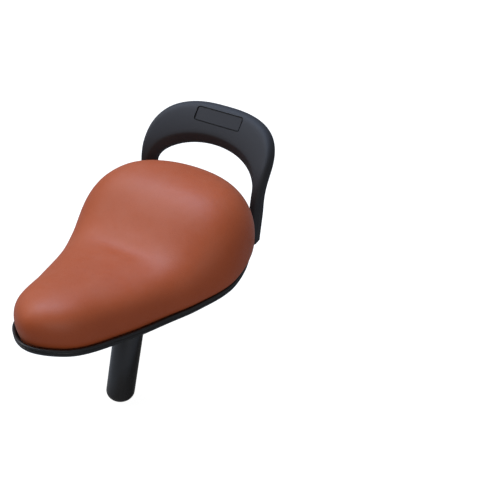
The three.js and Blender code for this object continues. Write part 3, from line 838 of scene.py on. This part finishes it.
@dataclass(frozen=True)
class SeatShape:
    """Outline, bow and crown of the seat. Heights are above its rim plane."""

    half_outline: tuple[tuple[float, float], ...] = (
        (0, -118), (23, -105), (38, -70), (51.5, -33), (64, -5), (77, 33), (70.5, 76), (39, 105),
        (0, 114),
    )
    per_span: int = 11
    rim_bow: float = 16 * MM
    bow_centre: float = 4 * MM
    bow_span: float = 100 * MM
    spine: tuple[float, float] = (-60 * MM, 82 * MM)
    nose_crown: float = 35 * MM
    seat_crown: float = 63.5 * MM
    tail_drop: float = 10.5 * MM
    crown_rise: tuple[float, float] = (-26 * MM, 50 * MM)
    tail_from: float = 40 * MM
    tail_overhang: float = 8.5 * MM
    widest_above_rim: float = 8 * MM
    side_power: float = 3.9
    crown_power: float = 2.2
    deepest_share: float = 0.55
    floor_drop: float = 10.5 * MM
    seat_gap: float = 0.35 * MM

    @cached_property
    def rake(self) -> float:
        """Angle between the seatpost and the upright."""
        axis = next(j["axis"] for j in frame["joints"] if j["child"] == Body.STRAP.value)
        return math.atan2(axis[1], axis[2])

    @cached_property
    def datum(self) -> np.ndarray:
        """Place on the seatpost's axis from which the seat is measured."""
        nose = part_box("cover")[0][1]
        ahead = nose - self.half_outline[0][1] * MM
        return np.array([0.0, ahead, ahead / math.tan(self.rake)])

    @cached_property
    def widest(self) -> np.ndarray:
        """Samples round the widest line of the seat."""
        half = [(x * MM, y * MM, 0.0) for x, y in self.half_outline]
        other = [(-x, y, z) for x, y, z in half[-2:0:-1]]
        return spline([*half, *other], self.per_span, closed=True)

    @cached_property
    def centre_line(self) -> np.ndarray:
        """Point on the spine that belongs to each sample."""
        middle = sum(self.spine) / 2
        reach = (self.spine[1] - self.spine[0]) / 2
        spine = np.zeros_like(self.widest)
        spine[:, 1] = middle + reach * np.tanh((self.widest[:, 1] - middle) / reach)
        return spine

    @cached_property
    def outward(self) -> np.ndarray:
        """Direction from the spine to each sample."""
        away = self.widest - self.centre_line
        return away / np.linalg.norm(away, axis=1)[:, None]

    @cached_property
    def rim(self) -> np.ndarray:
        """Samples round the rim, which lies inside the widest line at the tail."""
        along = (self.widest[:, 1] - self.widest[:, 1].min()) / np.ptp(self.widest[:, 1])
        return self.widest - self.outward * (self.tail_overhang * along**2)[:, None]

    def rim_rise(self, y: np.ndarray) -> np.ndarray:
        """Height of the rim above the rim plane: it rises towards the nose and the tail."""
        return self.rim_bow * ((y - self.bow_centre) / self.bow_span) ** 2

    def rim_slope(self, y: float) -> float:
        """Slope of the rim along the saddle."""
        return 2 * self.rim_bow * (y - self.bow_centre) / self.bow_span**2

    def floor_place(self, x: float, y: float) -> Matrix:
        """Place and tilt of a part that lies on the tray's floor.

        Args:
            x: Distance from the middle.
            y: Distance behind the datum.

        Returns:
            The part's place in the frame's coordinates.
        """
        rise = float(self.rim_rise(y)) - self.floor_drop
        place = Matrix.Translation(Vector(self.datum) + Vector((x, y, rise)))
        return place @ Matrix.Rotation(math.atan(self.rim_slope(y)), 4, "X")

    def crown_height(self, y: np.ndarray) -> np.ndarray:
        """Height of the crown above the rim along the spine."""
        share = np.clip((y - self.crown_rise[0]) / np.ptp(self.crown_rise), 0, 1)
        climb = share**3 * (10 - 15 * share + 6 * share**2)
        fall = np.maximum(0, (y - self.tail_from) / (self.spine[1] - self.tail_from))
        rise = (self.seat_crown - self.nose_crown) * climb
        return self.nose_crown + rise - self.tail_drop * fall**2

    def lift(self, ring: np.ndarray, height: Any) -> np.ndarray:
        """Sets a ring's heights above the bowed rim.

        Args:
            ring: The ring's places; their heights are ignored.
            height: Height above the rim, one for all or one for each place.

        Returns:
            The ring in the frame's coordinates.
        """
        lifted = ring.copy()
        lifted[:, 2] = self.rim_rise(ring[:, 1]) + height
        return lifted + self.datum

    def rim_ring(self, out: float, height: float) -> np.ndarray:
        """Ring that follows the rim.

        Args:
            out: Distance outside the rim.
            height: Height above it.

        Returns:
            The ring.
        """
        distance = np.linalg.norm(self.widest - self.centre_line, axis=1)
        offset = np.maximum(out, -self.deepest_share * distance)
        return self.lift(self.rim + self.outward * offset[:, None], height)

    def plate_rings(self, out: float, height: float, steps: int = 5) -> Rings:
        """Rings of a bowed plate, from a distance inside the rim to the spine.

        Args:
            out: Distance outside the rim of the plate's edge.
            height: Height above the rim.
            steps: Number of rings past the first.

        Returns:
            The rings.
        """
        edge = self.rim_ring(out, height) - self.datum
        shares = np.linspace(0, 1, steps + 1)
        return [self.lift(edge + (self.centre_line - edge) * share, height) for share in shares]

    def crown_rings(self, depth: float, steps: int) -> Rings:
        """Rings of the crowned seat, from its widest line to the spine.

        Args:
            depth: Depth under the seat's skin.
            steps: Number of rings past the first.

        Returns:
            The rings.
        """
        rings = []
        edge = self.widest - self.outward * depth
        for step in range(steps + 1):
            share = math.cos(step / steps * math.pi / 2)
            ring = self.centre_line + (edge - self.centre_line) * share
            rise = self.crown_height(ring[:, 1]) - depth - self.widest_above_rim
            swell = max(0.0, 1 - share**self.side_power) ** (1 / self.crown_power)
            rings.append(self.lift(ring, self.widest_above_rim + rise * swell))
        return rings

    def side_rings(self, depth: float, pinch: float, low: float, steps: int) -> Rings:
        """Rings of the rounded side below the widest line.

        Args:
            depth: Depth under the seat's skin.
            pinch: Distance that the side's foot is pulled in from the rim.
            low: Height of the foot above the rim.
            steps: Number of rings.

        Returns:
            The rings, from the foot upwards.
        """
        foot = self.rim - self.outward * (pinch + depth)
        top = self.widest - self.outward * depth
        rings = []
        for step in range(steps):
            turn = step / steps * math.pi / 2
            ring = foot + (top - foot) * math.sin(turn)
            height = low + (self.widest_above_rim - low) * (1 - math.cos(turn))
            rings.append(self.lift(ring, height))
        return rings


@dataclass
class Cushion:
    """Stretched cover with its turned hem, over a foam core."""

    shape: SeatShape
    thickness: float = 1.3 * MM
    gap: float = 0.35 * MM
    hem_width: float = 11 * MM
    hem_edge: float = 2.4 * MM
    hem_inset: float = 1.8 * MM
    hem_round: float = 1.3 * MM
    hem_height: float = -3.75 * MM
    pinch: float = 1.5 * MM
    foot_height: float = 0.6 * MM
    crown_steps: int = 30
    side_steps: int = 8
    pressure: float = 4.0
    frames: int = 16
    swell_cap: float = 1.2 * MM
    swell_from: tuple[float, float] = (2 * MM, 14 * MM)
    even_rounds: int = 12
    foam_bottom: float = 0.7 * MM

    def build(self) -> None:
        """Builds and dresses the cover and the foam."""
        cover = self._cover_skin()
        self._fill_out(cover)
        self._thicken(cover)
        smooth_shading(cover, 60)
        dress_piece(cover, LEATHERETTE, Body.SADDLE, ["cover"])
        foam = self._foam_core()
        smooth_shading(foam, 50)
        dress_piece(foam, FOAM, Body.SADDLE, ["foam_pad"])

    def _cover_skin(self) -> bpy.types.Object:
        """Returns the cover's outer face, from the hem's inner edge to the crown."""
        shape = self.shape
        hem = [shape.rim_ring(-out, self.hem_height)
               for out in np.linspace(self.hem_width, self.hem_edge, 4)]
        corner = []
        for turn in np.linspace(0, math.pi / 2, 5):
            out = -self.gap - self.hem_inset + self.hem_round * math.sin(turn)
            rise = self.hem_round * (1 - math.cos(turn))
            corner.append(shape.rim_ring(out, self.hem_height + rise))
        side = shape.side_rings(0.0, self.pinch, self.foot_height, self.side_steps)
        return loft("seat_cover", [*hem, *corner, *side, *shape.crown_rings(0.0, self.crown_steps)])

    def _fill_out(self, cover: bpy.types.Object) -> None:
        """Presses the cover out from inside as cloth and keeps an even share of the swelling."""
        rest = np.array([vertex.co for vertex in cover.data.vertices])
        local = rest - self.shape.datum
        height = local[:, 2] - self.shape.rim_rise(local[:, 1])
        held = cover.vertex_groups.new(name="held")
        low = np.where(height < self.shape.widest_above_rim)[0]
        held.add([int(i) for i in low], 1.0, "REPLACE")
        cloth = cover.modifiers.new("cloth", "CLOTH")
        cloth.settings.quality = 6
        cloth.settings.use_pressure = True
        cloth.settings.uniform_pressure_force = self.pressure
        cloth.settings.effector_weights.gravity = 0.0
        cloth.settings.vertex_group_mass = held.name
        cloth.settings.tension_stiffness = 40.0
        cloth.settings.compression_stiffness = 40.0
        cloth.settings.bending_stiffness = 8.0
        cloth.point_cache.frame_end = self.frames
        for number in range(1, self.frames + 1):
            bpy.context.scene.frame_set(number)
        pressed = cover.evaluated_get(bpy.context.evaluated_depsgraph_get()).data
        move = np.array([vertex.co for vertex in pressed.vertices]) - rest
        bpy.context.scene.frame_set(1)
        cover.modifiers.clear()
        move = self._even_out(cover, move) * smooth_step(height, *self.swell_from)[:, None]
        length = np.maximum(np.linalg.norm(move, axis=1), 1e-9)
        move *= (np.minimum(length, self.swell_cap) / length)[:, None]
        cover.data.vertices.foreach_set("co", (rest + move).ravel())
        cover.data.update()
        swell = float(np.linalg.norm(move, axis=1).max())
        log.info("cover swells by up to %.2f mm", swell / MM)

    def _even_out(self, cover: bpy.types.Object, move: np.ndarray) -> np.ndarray:
        """Averages each point's movement with its neighbours'.

        Args:
            cover: The cover.
            move: Movement of each of its points.

        Returns:
            The evened movement.
        """
        ends = np.array([edge.vertices[:] for edge in cover.data.edges])
        for _ in range(self.even_rounds):
            total = move.copy()
            count = np.ones(len(move))
            for a, b in ((0, 1), (1, 0)):
                np.add.at(total, ends[:, a], move[ends[:, b]])
                np.add.at(count, ends[:, a], 1)
            move = total / count[:, None]
        return move

    def _thicken(self, cover: bpy.types.Object) -> None:
        """Gives the cover its thickness, inwards."""
        thick = cover.modifiers.new("thickness", "SOLIDIFY")
        thick.thickness = self.thickness
        thick.offset = -1.0
        settle(cover)

    def _foam_core(self) -> bpy.types.Object:
        """Returns the foam as a closed form under the cover."""
        shape = self.shape
        under = self.thickness + 2 * self.gap
        inset = -self.gap - under - self.pinch
        bottom = shape.plate_rings(inset - 2 * MM, self.foam_bottom, 3)[::-1]
        side = shape.side_rings(under, self.pinch, self.foam_bottom + 0.8 * MM, 3)
        return loft("foam_core", [*bottom, *side, *shape.crown_rings(under, 16)])


@dataclass
class Tray:
    """Plastic tray under the seat, with a beaded lip, a window and screw holes."""

    shape: SeatShape
    floor_thickness: float = 2.5 * MM
    floor_inset: tuple[float, float] = (-14 * MM, -18 * MM)
    window_centre: float = -12 * MM
    window_half: tuple[float, float] = (19 * MM, 23 * MM)
    screw_hole: float = 2.4 * MM
    tool_reach: float = 5 * MM
    lip: tuple[tuple[float, float], ...] = (
        (0.8, -5.6), (1.7, -4.9), (2.4, -3.9), (2.75, -3.0), (2.8, -2.3), (2.65, -1.7),
        (2.2, -1.35), (2.05, -1.0), (2.2, -0.65), (2.65, -0.4), (2.8, 0.1), (2.8, 0.7),
        (2.6, 1.2), (2.2, 1.5), (1.7, 1.6), (1.1, 1.5), (0.7, 1.2), (0.45, 0.7), (0.3, 0.0),
        (0.2, -2.0), (0.0, -4.65),
    )

    def build(self) -> None:
        """Builds and dresses the tray."""
        shape = self.shape
        outside, inside = self.floor_inset
        rings = [
            *shape.plate_rings(outside, -shape.floor_drop)[::-1],
            *[shape.rim_ring(out * MM, height * MM) for out, height in self.lip],
            *shape.plate_rings(inside, self.floor_thickness - shape.floor_drop),
        ]
        tray = loft("tray", rings)
        combine(tray, self._window_tool(), "DIFFERENCE")
        self._screw_holes(tray)
        smooth_shading(tray, 35)
        dress_piece(tray, TRAY_PLASTIC, Body.SADDLE, ["lower_shell"])

    def _window_tool(self) -> bpy.types.Object:
        """Returns the oval tool for the window over the clamp."""
        turns = np.arange(64) * 2 * math.pi / 64
        oval = np.stack([self.window_half[0] * np.cos(turns),
                         self.window_centre + self.window_half[1] * np.sin(turns),
                         np.zeros(64)], 1) + self.shape.datum
        drop = np.array([0, 0, self.shape.floor_drop])
        reach = np.array([0, 0, self.tool_reach])
        return loft("window_tool", [oval - drop - reach, oval - drop + reach], capped=True)

    def _screw_holes(self, tray: bpy.types.Object) -> None:
        """Cuts a hole for each screw that passes through the floor."""
        for name in sorted(frame["nodes"]):
            if "screw" not in name:
                continue
            low, high = (np.array(corner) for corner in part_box(name))
            half = self.tool_reach + 1 * MM
            tool = lathe("hole_tool", [(0.0, -half), (self.screw_hole, -half),
                                       (self.screw_hole, half), (0.0, half)], 20)
            x, y = (low[:2] + high[:2]) / 2 - self.shape.datum[:2]
            tool.data.transform(self.shape.floor_place(x, y))
            combine(tray, tool, "DIFFERENCE")


# ---- the grab handle ----------------------------------------------------------------------------


@dataclass
class GrabHandle:
    """Loop behind the seat that leans back, with two screwed tabs and a blank panel."""

    shape: SeatShape
    front: float = 96 * MM
    thickness: float = 14 * MM
    foot: float = -6 * MM
    foot_halves: tuple[float, float] = (62 * MM, 51 * MM)
    lean_span: tuple[float, float] = (20 * MM, 70 * MM)
    lean: float = math.radians(39)
    wrap: float = 9 * MM
    outer_arch: tuple[float, float, float, float] = (64 * MM, 62 * MM, 54 * MM, 2.65)
    inner_arch: tuple[float, float, float, float] = (51.5 * MM, 46 * MM, 33 * MM, 2.0)
    corner_radii: tuple[float, float, float] = (8.4 * MM, 4.0 * MM, 3.5 * MM)
    hole_bevel: tuple[tuple[float, float], ...] = (
        (0.0, 7.2), (0.15, 6.5), (0.5, 5.9), (4.3, 1.1), (4.9, 0.55), (5.6, 0.2), (6.4, 0.0),
    )
    face_crown: float = 1.7 * MM
    face_steps: int = 7
    seam_depth: float = 0.5 * MM
    seam_at: tuple[float, float, float, float] = (8.7 * MM, 9.0 * MM, 9.3 * MM, 9.6 * MM)
    leg_steps: int = 26
    arch_steps: int = 72
    bend_steps: int = 24
    panel_at: float = 101 * MM
    panel_half: tuple[float, float] = (23.5 * MM, 7 * MM)
    panel_depth: float = 0.5 * MM
    panel_corner: float = 2.5 * MM
    frame_width: float = 1.1 * MM
    frame_depth: float = 1.5 * MM
    tab_across: tuple[float, float] = (36.5 * MM, 58 * MM)
    tab_along: tuple[float, float] = (43 * MM, 103.5 * MM)
    tab_thickness: float = 5 * MM
    tab_at: float = 58 * MM
    tab_bevel: float = 0.8 * MM

    def build(self) -> None:
        """Builds and dresses the handle."""
        handle = loft("handle", self._sections(), capped=True)
        for inset, depth in ((0.0, self.panel_depth), (self.frame_width, self.frame_depth)):
            combine(handle, self._panel_tool(inset, depth), "DIFFERENCE")
        for side in (-1, 1):
            combine(handle, self._tab(side), "UNION")
        smooth_shading(handle, 32)
        dress_piece(handle, HANDLE_PLASTIC, Body.SADDLE, ["grab_handle"])

    def point(self, across: float, up: float, depth: float) -> np.ndarray:
        """Point on the handle, in the frame's coordinates.

        Args:
            across: Distance from the middle.
            up: Distance up its curved face.
            depth: Depth behind the face.

        Returns:
            The point.
        """
        low, high = self.lean_span
        y, z = self.front, min(up, low)
        stride = max(0.0, up - low) / self.bend_steps
        for step in range(self.bend_steps):
            angle = self.lean * smooth_step(low + (step + 0.5) * stride, low, high)
            y += math.sin(angle) * stride
            z += math.cos(angle) * stride
        angle = self.lean * smooth_step(up, low, high)
        depth -= self.wrap * abs(across / self.outer_arch[0]) ** 3 * smooth_step(up, low, high)
        place = np.array([across, y + depth * math.cos(angle), z - depth * math.sin(angle)])
        return place + self.shape.datum

    def _arch(self, foot_half: float, arch: tuple[float, float, float, float]) -> np.ndarray:
        """Line up one leg, over the top and down the other.

        Args:
            foot_half: Half of the width at the feet.
            arch: Half width, height and rise of the arch, and the power of its curve.

        Returns:
            Across and up of each place on the line.
        """
        half, at, rise, power = arch
        share = np.arange(self.leg_steps) / self.leg_steps
        leg = np.stack([foot_half + (half - foot_half) * share,
                        self.foot + (at - self.foot) * share], 1)
        turn = np.linspace(0, math.pi, self.arch_steps + 1)
        bend = np.abs(np.cos(turn)) ** (2 / power) * np.sign(np.cos(turn))
        top = np.stack([half * bend, at + rise * np.abs(np.sin(turn)) ** (2 / power)], 1)
        return np.concatenate([leg, top, leg[::-1] * [-1, 1]])

    def _profile(self, width: float) -> list[tuple[float, float]]:
        """Rounded section of the loop.

        Args:
            width: The section's width.

        Returns:
            Share of the width from the hole outwards, and depth, of each corner.
        """
        deep = self.thickness
        corners = [(1, 0, 270), (1, 1, 0), (0, 1, 90)]
        shrink = min(1.0, 0.35 * width / (self.hole_bevel[-1][0] * MM))
        points = [(across * MM * shrink / width, depth * MM) for across, depth in self.hole_bevel]
        points.extend((share, 0.0) for share in self._face_shares(width))
        for (far, back, start), radius in zip(corners, self.corner_radii):
            radius = min(radius, 0.35 * width)
            centre = (radius + far * (width - 2 * radius), radius + back * (deep - 2 * radius))
            for turn in np.linspace(0, 90, 7):
                angle = math.radians(start + turn)
                points.append(((centre[0] + radius * math.cos(angle)) / width,
                               centre[1] + radius * math.sin(angle)))
            if far and not back:
                inset = 1 - self.seam_depth / width
                points.extend(zip((1.0, inset, inset, 1.0), self.seam_at))
        return [(share, depth - self._swell(share, depth)) for share, depth in points]

    def _face_shares(self, width: float) -> np.ndarray:
        """Shares of the width at which the flat of the face has a corner."""
        inner, outer = (min(reach, 0.35 * width) / width
                        for reach in (self.hole_bevel[-1][0] * MM, self.corner_radii[0]))
        return np.linspace(inner, 1 - outer, self.face_steps + 2)[1:-1]

    def _swell(self, share: float, depth: float) -> float:
        """Height of the face's gentle crown over a place of the section."""
        fade = 1 - smooth_step(depth, 0.0, self.thickness / 2)
        return self.face_crown * 4 * share * (1 - share) * fade

    def _sections(self) -> Rings:
        """Returns the loop's sections from foot to foot."""
        outer = self._arch(self.foot_halves[0], self.outer_arch)
        inner = self._arch(self.foot_halves[1], self.inner_arch)
        rings = []
        for (out_x, out_up), (in_x, in_up) in zip(outer, inner):
            width = math.hypot(out_x - in_x, out_up - in_up)
            rings.append(np.array([
                self.point(in_x + (out_x - in_x) * share, in_up + (out_up - in_up) * share, depth)
                for share, depth in self._profile(width)
            ]))
        return rings

    def _panel_tool(self, groove: float, depth: float) -> bpy.types.Object:
        """Makes the tool for the blank panel on the bar, or for the groove round it.

        Args:
            groove: Width of the groove, 0 for the whole panel.
            depth: Depth under the crown of the bar's face.

        Returns:
            The tool.
        """
        low = self.point(0.0, self.panel_at, self.thickness)
        outward = (self.point(0.0, self.panel_at, 0.0) - low) / self.thickness
        across = np.array([1.0, 0.0, 0.0])
        upward = np.cross(outward, across)
        floor_at = self.point(0.0, self.panel_at, 0.0) + outward * (self.face_crown - depth)

        def ring(inset: float, rise: float) -> np.ndarray:
            """Returns the panel's outline, moved in by inset and out of the face by rise."""
            corner = self.panel_corner - inset
            places = []
            for start, (sx, sy) in zip((-90, 0, 90, 180), ((1, -1), (1, 1), (-1, 1), (-1, -1))):
                for turn in np.linspace(0, 90, 7):
                    angle = math.radians(start + turn)
                    x = sx * (self.panel_half[0] - self.panel_corner) + corner * math.cos(angle)
                    y = sy * (self.panel_half[1] - self.panel_corner) + corner * math.sin(angle)
                    places.append(floor_at + across * x + upward * y + outward * rise)
            return np.array(places)

        clear = 5 * MM
        if groove:
            return loft("panel_tool", [ring(0.0, 0.0), ring(0.0, clear), ring(groove, clear),
                                       ring(groove, 0.0), ring(0.0, 0.0)])
        return loft("panel_tool", [ring(0.0, 0.0), ring(0.0, clear)], capped=True)

    def _tab(self, side: int) -> bpy.types.Object:
        """Returns the flat tab on one side, tilted with the tray's floor."""
        left, right = sorted(side * across for across in self.tab_across)
        front, back = (along - self.tab_at for along in self.tab_along)
        gap = self.shape.seat_gap
        tab = block("tab", (left, front, -gap - self.tab_thickness), (right, back, -gap),
                    self.tab_bevel)
        tab.data.transform(self.shape.floor_place(0.0, self.tab_at))
        return tab


# ---- rails, post and clamp ------------------------------------------------------------------


@dataclass
class Rails:
    """The two round rails between the nose clip and the rear bridge."""

    shape: SeatShape
    radius: float = 3.5 * MM
    apart: float = 22 * MM
    drop: float = -22 * MM
    straight: tuple[float, ...] = (-25 * MM, -21 * MM, 10 * MM, 39 * MM, 43 * MM)
    clip: tuple[float, float, float, float] = (-65 * MM, 9 * MM, 9 * MM, 8.5 * MM)
    bridge: tuple[float, float, float, float] = (69 * MM, 9 * MM, 10 * MM, 26 * MM)
    socket_depth: float = 12 * MM

    def build(self) -> None:
        """Builds and dresses both rails."""
        for word, side in (("left", 1), ("right", -1)):
            rail = tube(f"rail_bar_{word}", self._path(side), self.radius)
            smooth_shading(rail)
            dress_piece(rail, BLACK_STEEL, Body.SADDLE, [f"rail_{word}"])

    def _socket(self, holder: tuple[float, float, float, float], side: int,
                along: float) -> np.ndarray:
        """Point on a rail's axis in its holder.

        Args:
            holder: The holder's place, half length, depth and the rails' distance from the middle.
            side: 1 for the left rail, -1 for the right.
            along: Distance behind the holder's middle.

        Returns:
            The point.
        """
        at, _, depth, rail_at = holder
        shape = self.shape
        turn = Matrix.Rotation(math.atan(shape.rim_slope(at)), 3, "X")
        local = turn @ Vector((side * rail_at, along, -shape.seat_gap - depth / 2))
        rise = float(shape.rim_rise(at)) - shape.floor_drop
        return np.array(local) + [0, at, rise]

    def _path(self, side: int) -> np.ndarray:
        """Axis of one rail, from its socket in the clip to its socket in the bridge."""
        half = self.clip[1]
        blind = half - self.socket_depth + 1 * MM
        front = [self._socket(self.clip, side, y) for y in (blind, half + 1 * MM, half + 4 * MM)]
        middle = [np.array([side * self.apart, y, self.drop]) for y in self.straight]
        back = [self._socket(self.bridge, side, -y) for y in (half + 4 * MM, half + 1 * MM, blind)]
        return spline([*front, *middle, *back], 10, closed=False) + self.shape.datum


@dataclass
class Seatpost:
    """Painted tube with a rounded lower end and a reduced neck."""

    shape: SeatShape
    radius: float = 12.7 * MM
    neck: float = 11.1 * MM
    wall: float = 2.2 * MM
    end_round: float = 8.5 * MM
    drain: float = 1.5 * MM
    shoulder: float = 83.411 * MM
    top: float = 105.411 * MM
    taper: float = 3 * MM

    def build(self) -> None:
        """Builds and dresses the seatpost."""
        post = lathe("post_tube", self._profile(), 96)
        post.data.transform(Matrix.Rotation(-self.shape.rake, 4, "X"))
        smooth_shading(post, 35)
        dress_piece(post, POST_PAINT, Body.POST, ["seatpost"])

    def _profile(self) -> list[tuple[float, float]]:
        """Returns the tube's closed profile, outside then inside."""
        flat = self.radius - self.end_round
        turns = np.linspace(0, math.pi / 2, 14)
        outside = [(flat + self.end_round * math.sin(t), self.end_round * (1 - math.cos(t)))
                   for t in turns]
        inner = self.end_round - self.wall
        inside = [(flat + inner * math.sin(t), self.end_round - inner * math.cos(t))
                  for t in turns[::-1]]
        rim = 0.8 * MM
        ease = [(self.neck + (self.radius - self.neck) * (1 - smooth_step(s, 0.0, 1.0)),
                 self.shoulder - self.taper + self.taper * s) for s in np.linspace(0, 1, 6)]
        return [
            (self.drain, 0.0), *outside, *ease, (self.neck, self.top - rim),
            (self.neck - rim, self.top), (self.neck - self.wall, self.top),
            (self.neck - self.wall, self.shoulder - 1 * MM),
            (self.radius - self.wall, self.shoulder - self.taper - 2 * MM), *inside,
            (self.drain, self.wall),
        ]


@dataclass
class SmallParts:
    """Parts that keep their own solids: the pan, the rails' holders, the clamp and fasteners."""

    edges: dict[str, float] = field(default_factory=lambda: {
        "base_pan": 0.0, "rear_bridge": 0.8 * MM, "nose_clip": 0.8 * MM, "clamp_strap": 0.5 * MM,
        "cheek": 0.8 * MM, "stud": 0.3 * MM, "washer": 0.2 * MM, "nut": 0.4 * MM,
        "screw": 0.25 * MM, "staple": 0.2 * MM,
    })
    finishes: dict[str, Finish] = field(default_factory=lambda: {
        "base_pan": PAN_PLASTIC, "rear_bridge": PAN_PLASTIC, "nose_clip": PAN_PLASTIC,
        "clamp_strap": BLACK_STEEL, "cheek": BLACK_STEEL, "stud": ZINC, "washer": ZINC, "nut": ZINC,
        "screw": ZINC, "staple": ZINC,
    })

    def dress(self) -> None:
        """Finishes every solid that no new piece stands for."""
        for name in sorted(frame["nodes"]):
            kind = next((kind for kind in self.edges if kind in name), None)
            if kind:
                dress_node(name, self.finishes[kind], self.edges[kind])


# ---- the studio -----------------------------------------------------------------------------


@dataclass
class Studio:
    """Pale floor, soft light and the camera."""

    azimuth: float = math.radians(24.34)
    elevation: float = math.radians(37.21)
    roll: float = math.radians(4.81)
    stand: tuple[float, float, float] = (0.2330, -0.2545, 0.4295)
    lens: float = 41.07
    sensor: float = 36.0
    floor_size: float = 14.0
    sky: float = 0.16

    def build(self) -> None:
        """Sets up the floor, the lights and the camera."""
        self._floor()
        self._sky()
        self._lamp("ceiling_softbox", (-0.9, -0.1, 1.5), 1.5, 20.0)
        self._lamp("side_softbox", (1.5, -1.1, 0.8), 1.0, 9.5)
        self._lamp("cool_softbox", (-0.35, 0.42, 1.5), 0.6, 16.0, (0.5, 0.68, 1.0))
        self._camera()
        bpy.context.scene.view_settings.view_transform = "Standard"

    def _floor(self) -> None:
        """Lays the floor just under the lowest piece."""
        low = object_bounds()[0][2] - 1 * MM
        half = self.floor_size / 2
        corners = np.array([[x, y, low] for x, y in ((-half, -half), (half, -half), (half, half),
                                                     (-half, half))])
        floor = new_piece("floor", corners, [(0, 1, 2, 3)])
        floor.data.materials.append(FLOOR.material())
        floor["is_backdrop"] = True

    def _sky(self) -> None:
        """Fills the surroundings with dim even light that is white where it is seen."""
        world = bpy.data.worlds.new("studio")
        bpy.context.scene.world = world
        world.use_nodes = True
        board = Board(world.node_tree)
        seen = board.add("ShaderNodeLightPath").outputs["Is Camera Ray"]
        background = board.add("ShaderNodeBackground", {
            "Color": (1.0, 1.0, 1.0, 1.0), "Strength": board.stretch(seen, 0.0, 1.0, self.sky, 1.0),
        })
        board.add("ShaderNodeOutputWorld", {"Surface": background.outputs[0]})

    def _lamp(self, name: str, place: Sequence[float], size: float, power: float,
              colour: Colour = (1.0, 1.0, 1.0)) -> None:
        """Hangs a square softbox that faces the saddle.

        Args:
            name: The lamp's name.
            place: Where it hangs.
            size: Its side length.
            power: Its power in watts.
            colour: Its colour.
        """
        data = bpy.data.lights.new(name, "AREA")
        data.size = size
        data.energy = power
        data.color = colour
        lamp = bpy.data.objects.new(name, data)
        aim = Vector((0, 0.04, 0.12)) - Vector(place)
        lamp.rotation_euler = aim.to_track_quat("-Z", "Y").to_euler()
        lamp.location = place
        bpy.context.scene.collection.objects.link(lamp)

    def _camera(self) -> None:
        """Places the camera above the nose, on the saddle's left side."""
        level = Vector((math.cos(self.azimuth), math.sin(self.azimuth), 0))
        back = Vector((math.sin(self.azimuth) * math.cos(self.elevation),
                       -math.cos(self.azimuth) * math.cos(self.elevation),
                       math.sin(self.elevation)))
        upright = back.cross(level)
        right = level * math.cos(self.roll) + upright * math.sin(self.roll)
        upward = upright * math.cos(self.roll) - level * math.sin(self.roll)
        data = bpy.data.cameras.new("camera")
        data.sensor_width = self.sensor
        data.lens = self.lens
        data.clip_start = 0.01
        camera = bpy.data.objects.new("camera", data)
        turn = Matrix((right, upward, back)).transposed().to_4x4()
        camera.matrix_world = Matrix.Translation(self.stand) @ turn
        bpy.context.scene.collection.objects.link(camera)
        bpy.context.scene.camera = camera


def main() -> None:
    """Builds every sub-assembly of the saddle, then the studio."""
    logging.basicConfig(level=logging.INFO, format="%(name)s: %(message)s")
    shape = SeatShape()
    for sub_assembly in (Cushion, Tray, GrabHandle, Rails, Seatpost):
        sub_assembly(shape).build()
    SmallParts().dress()
    Studio().build()


if __name__ == "__main__":
    main()
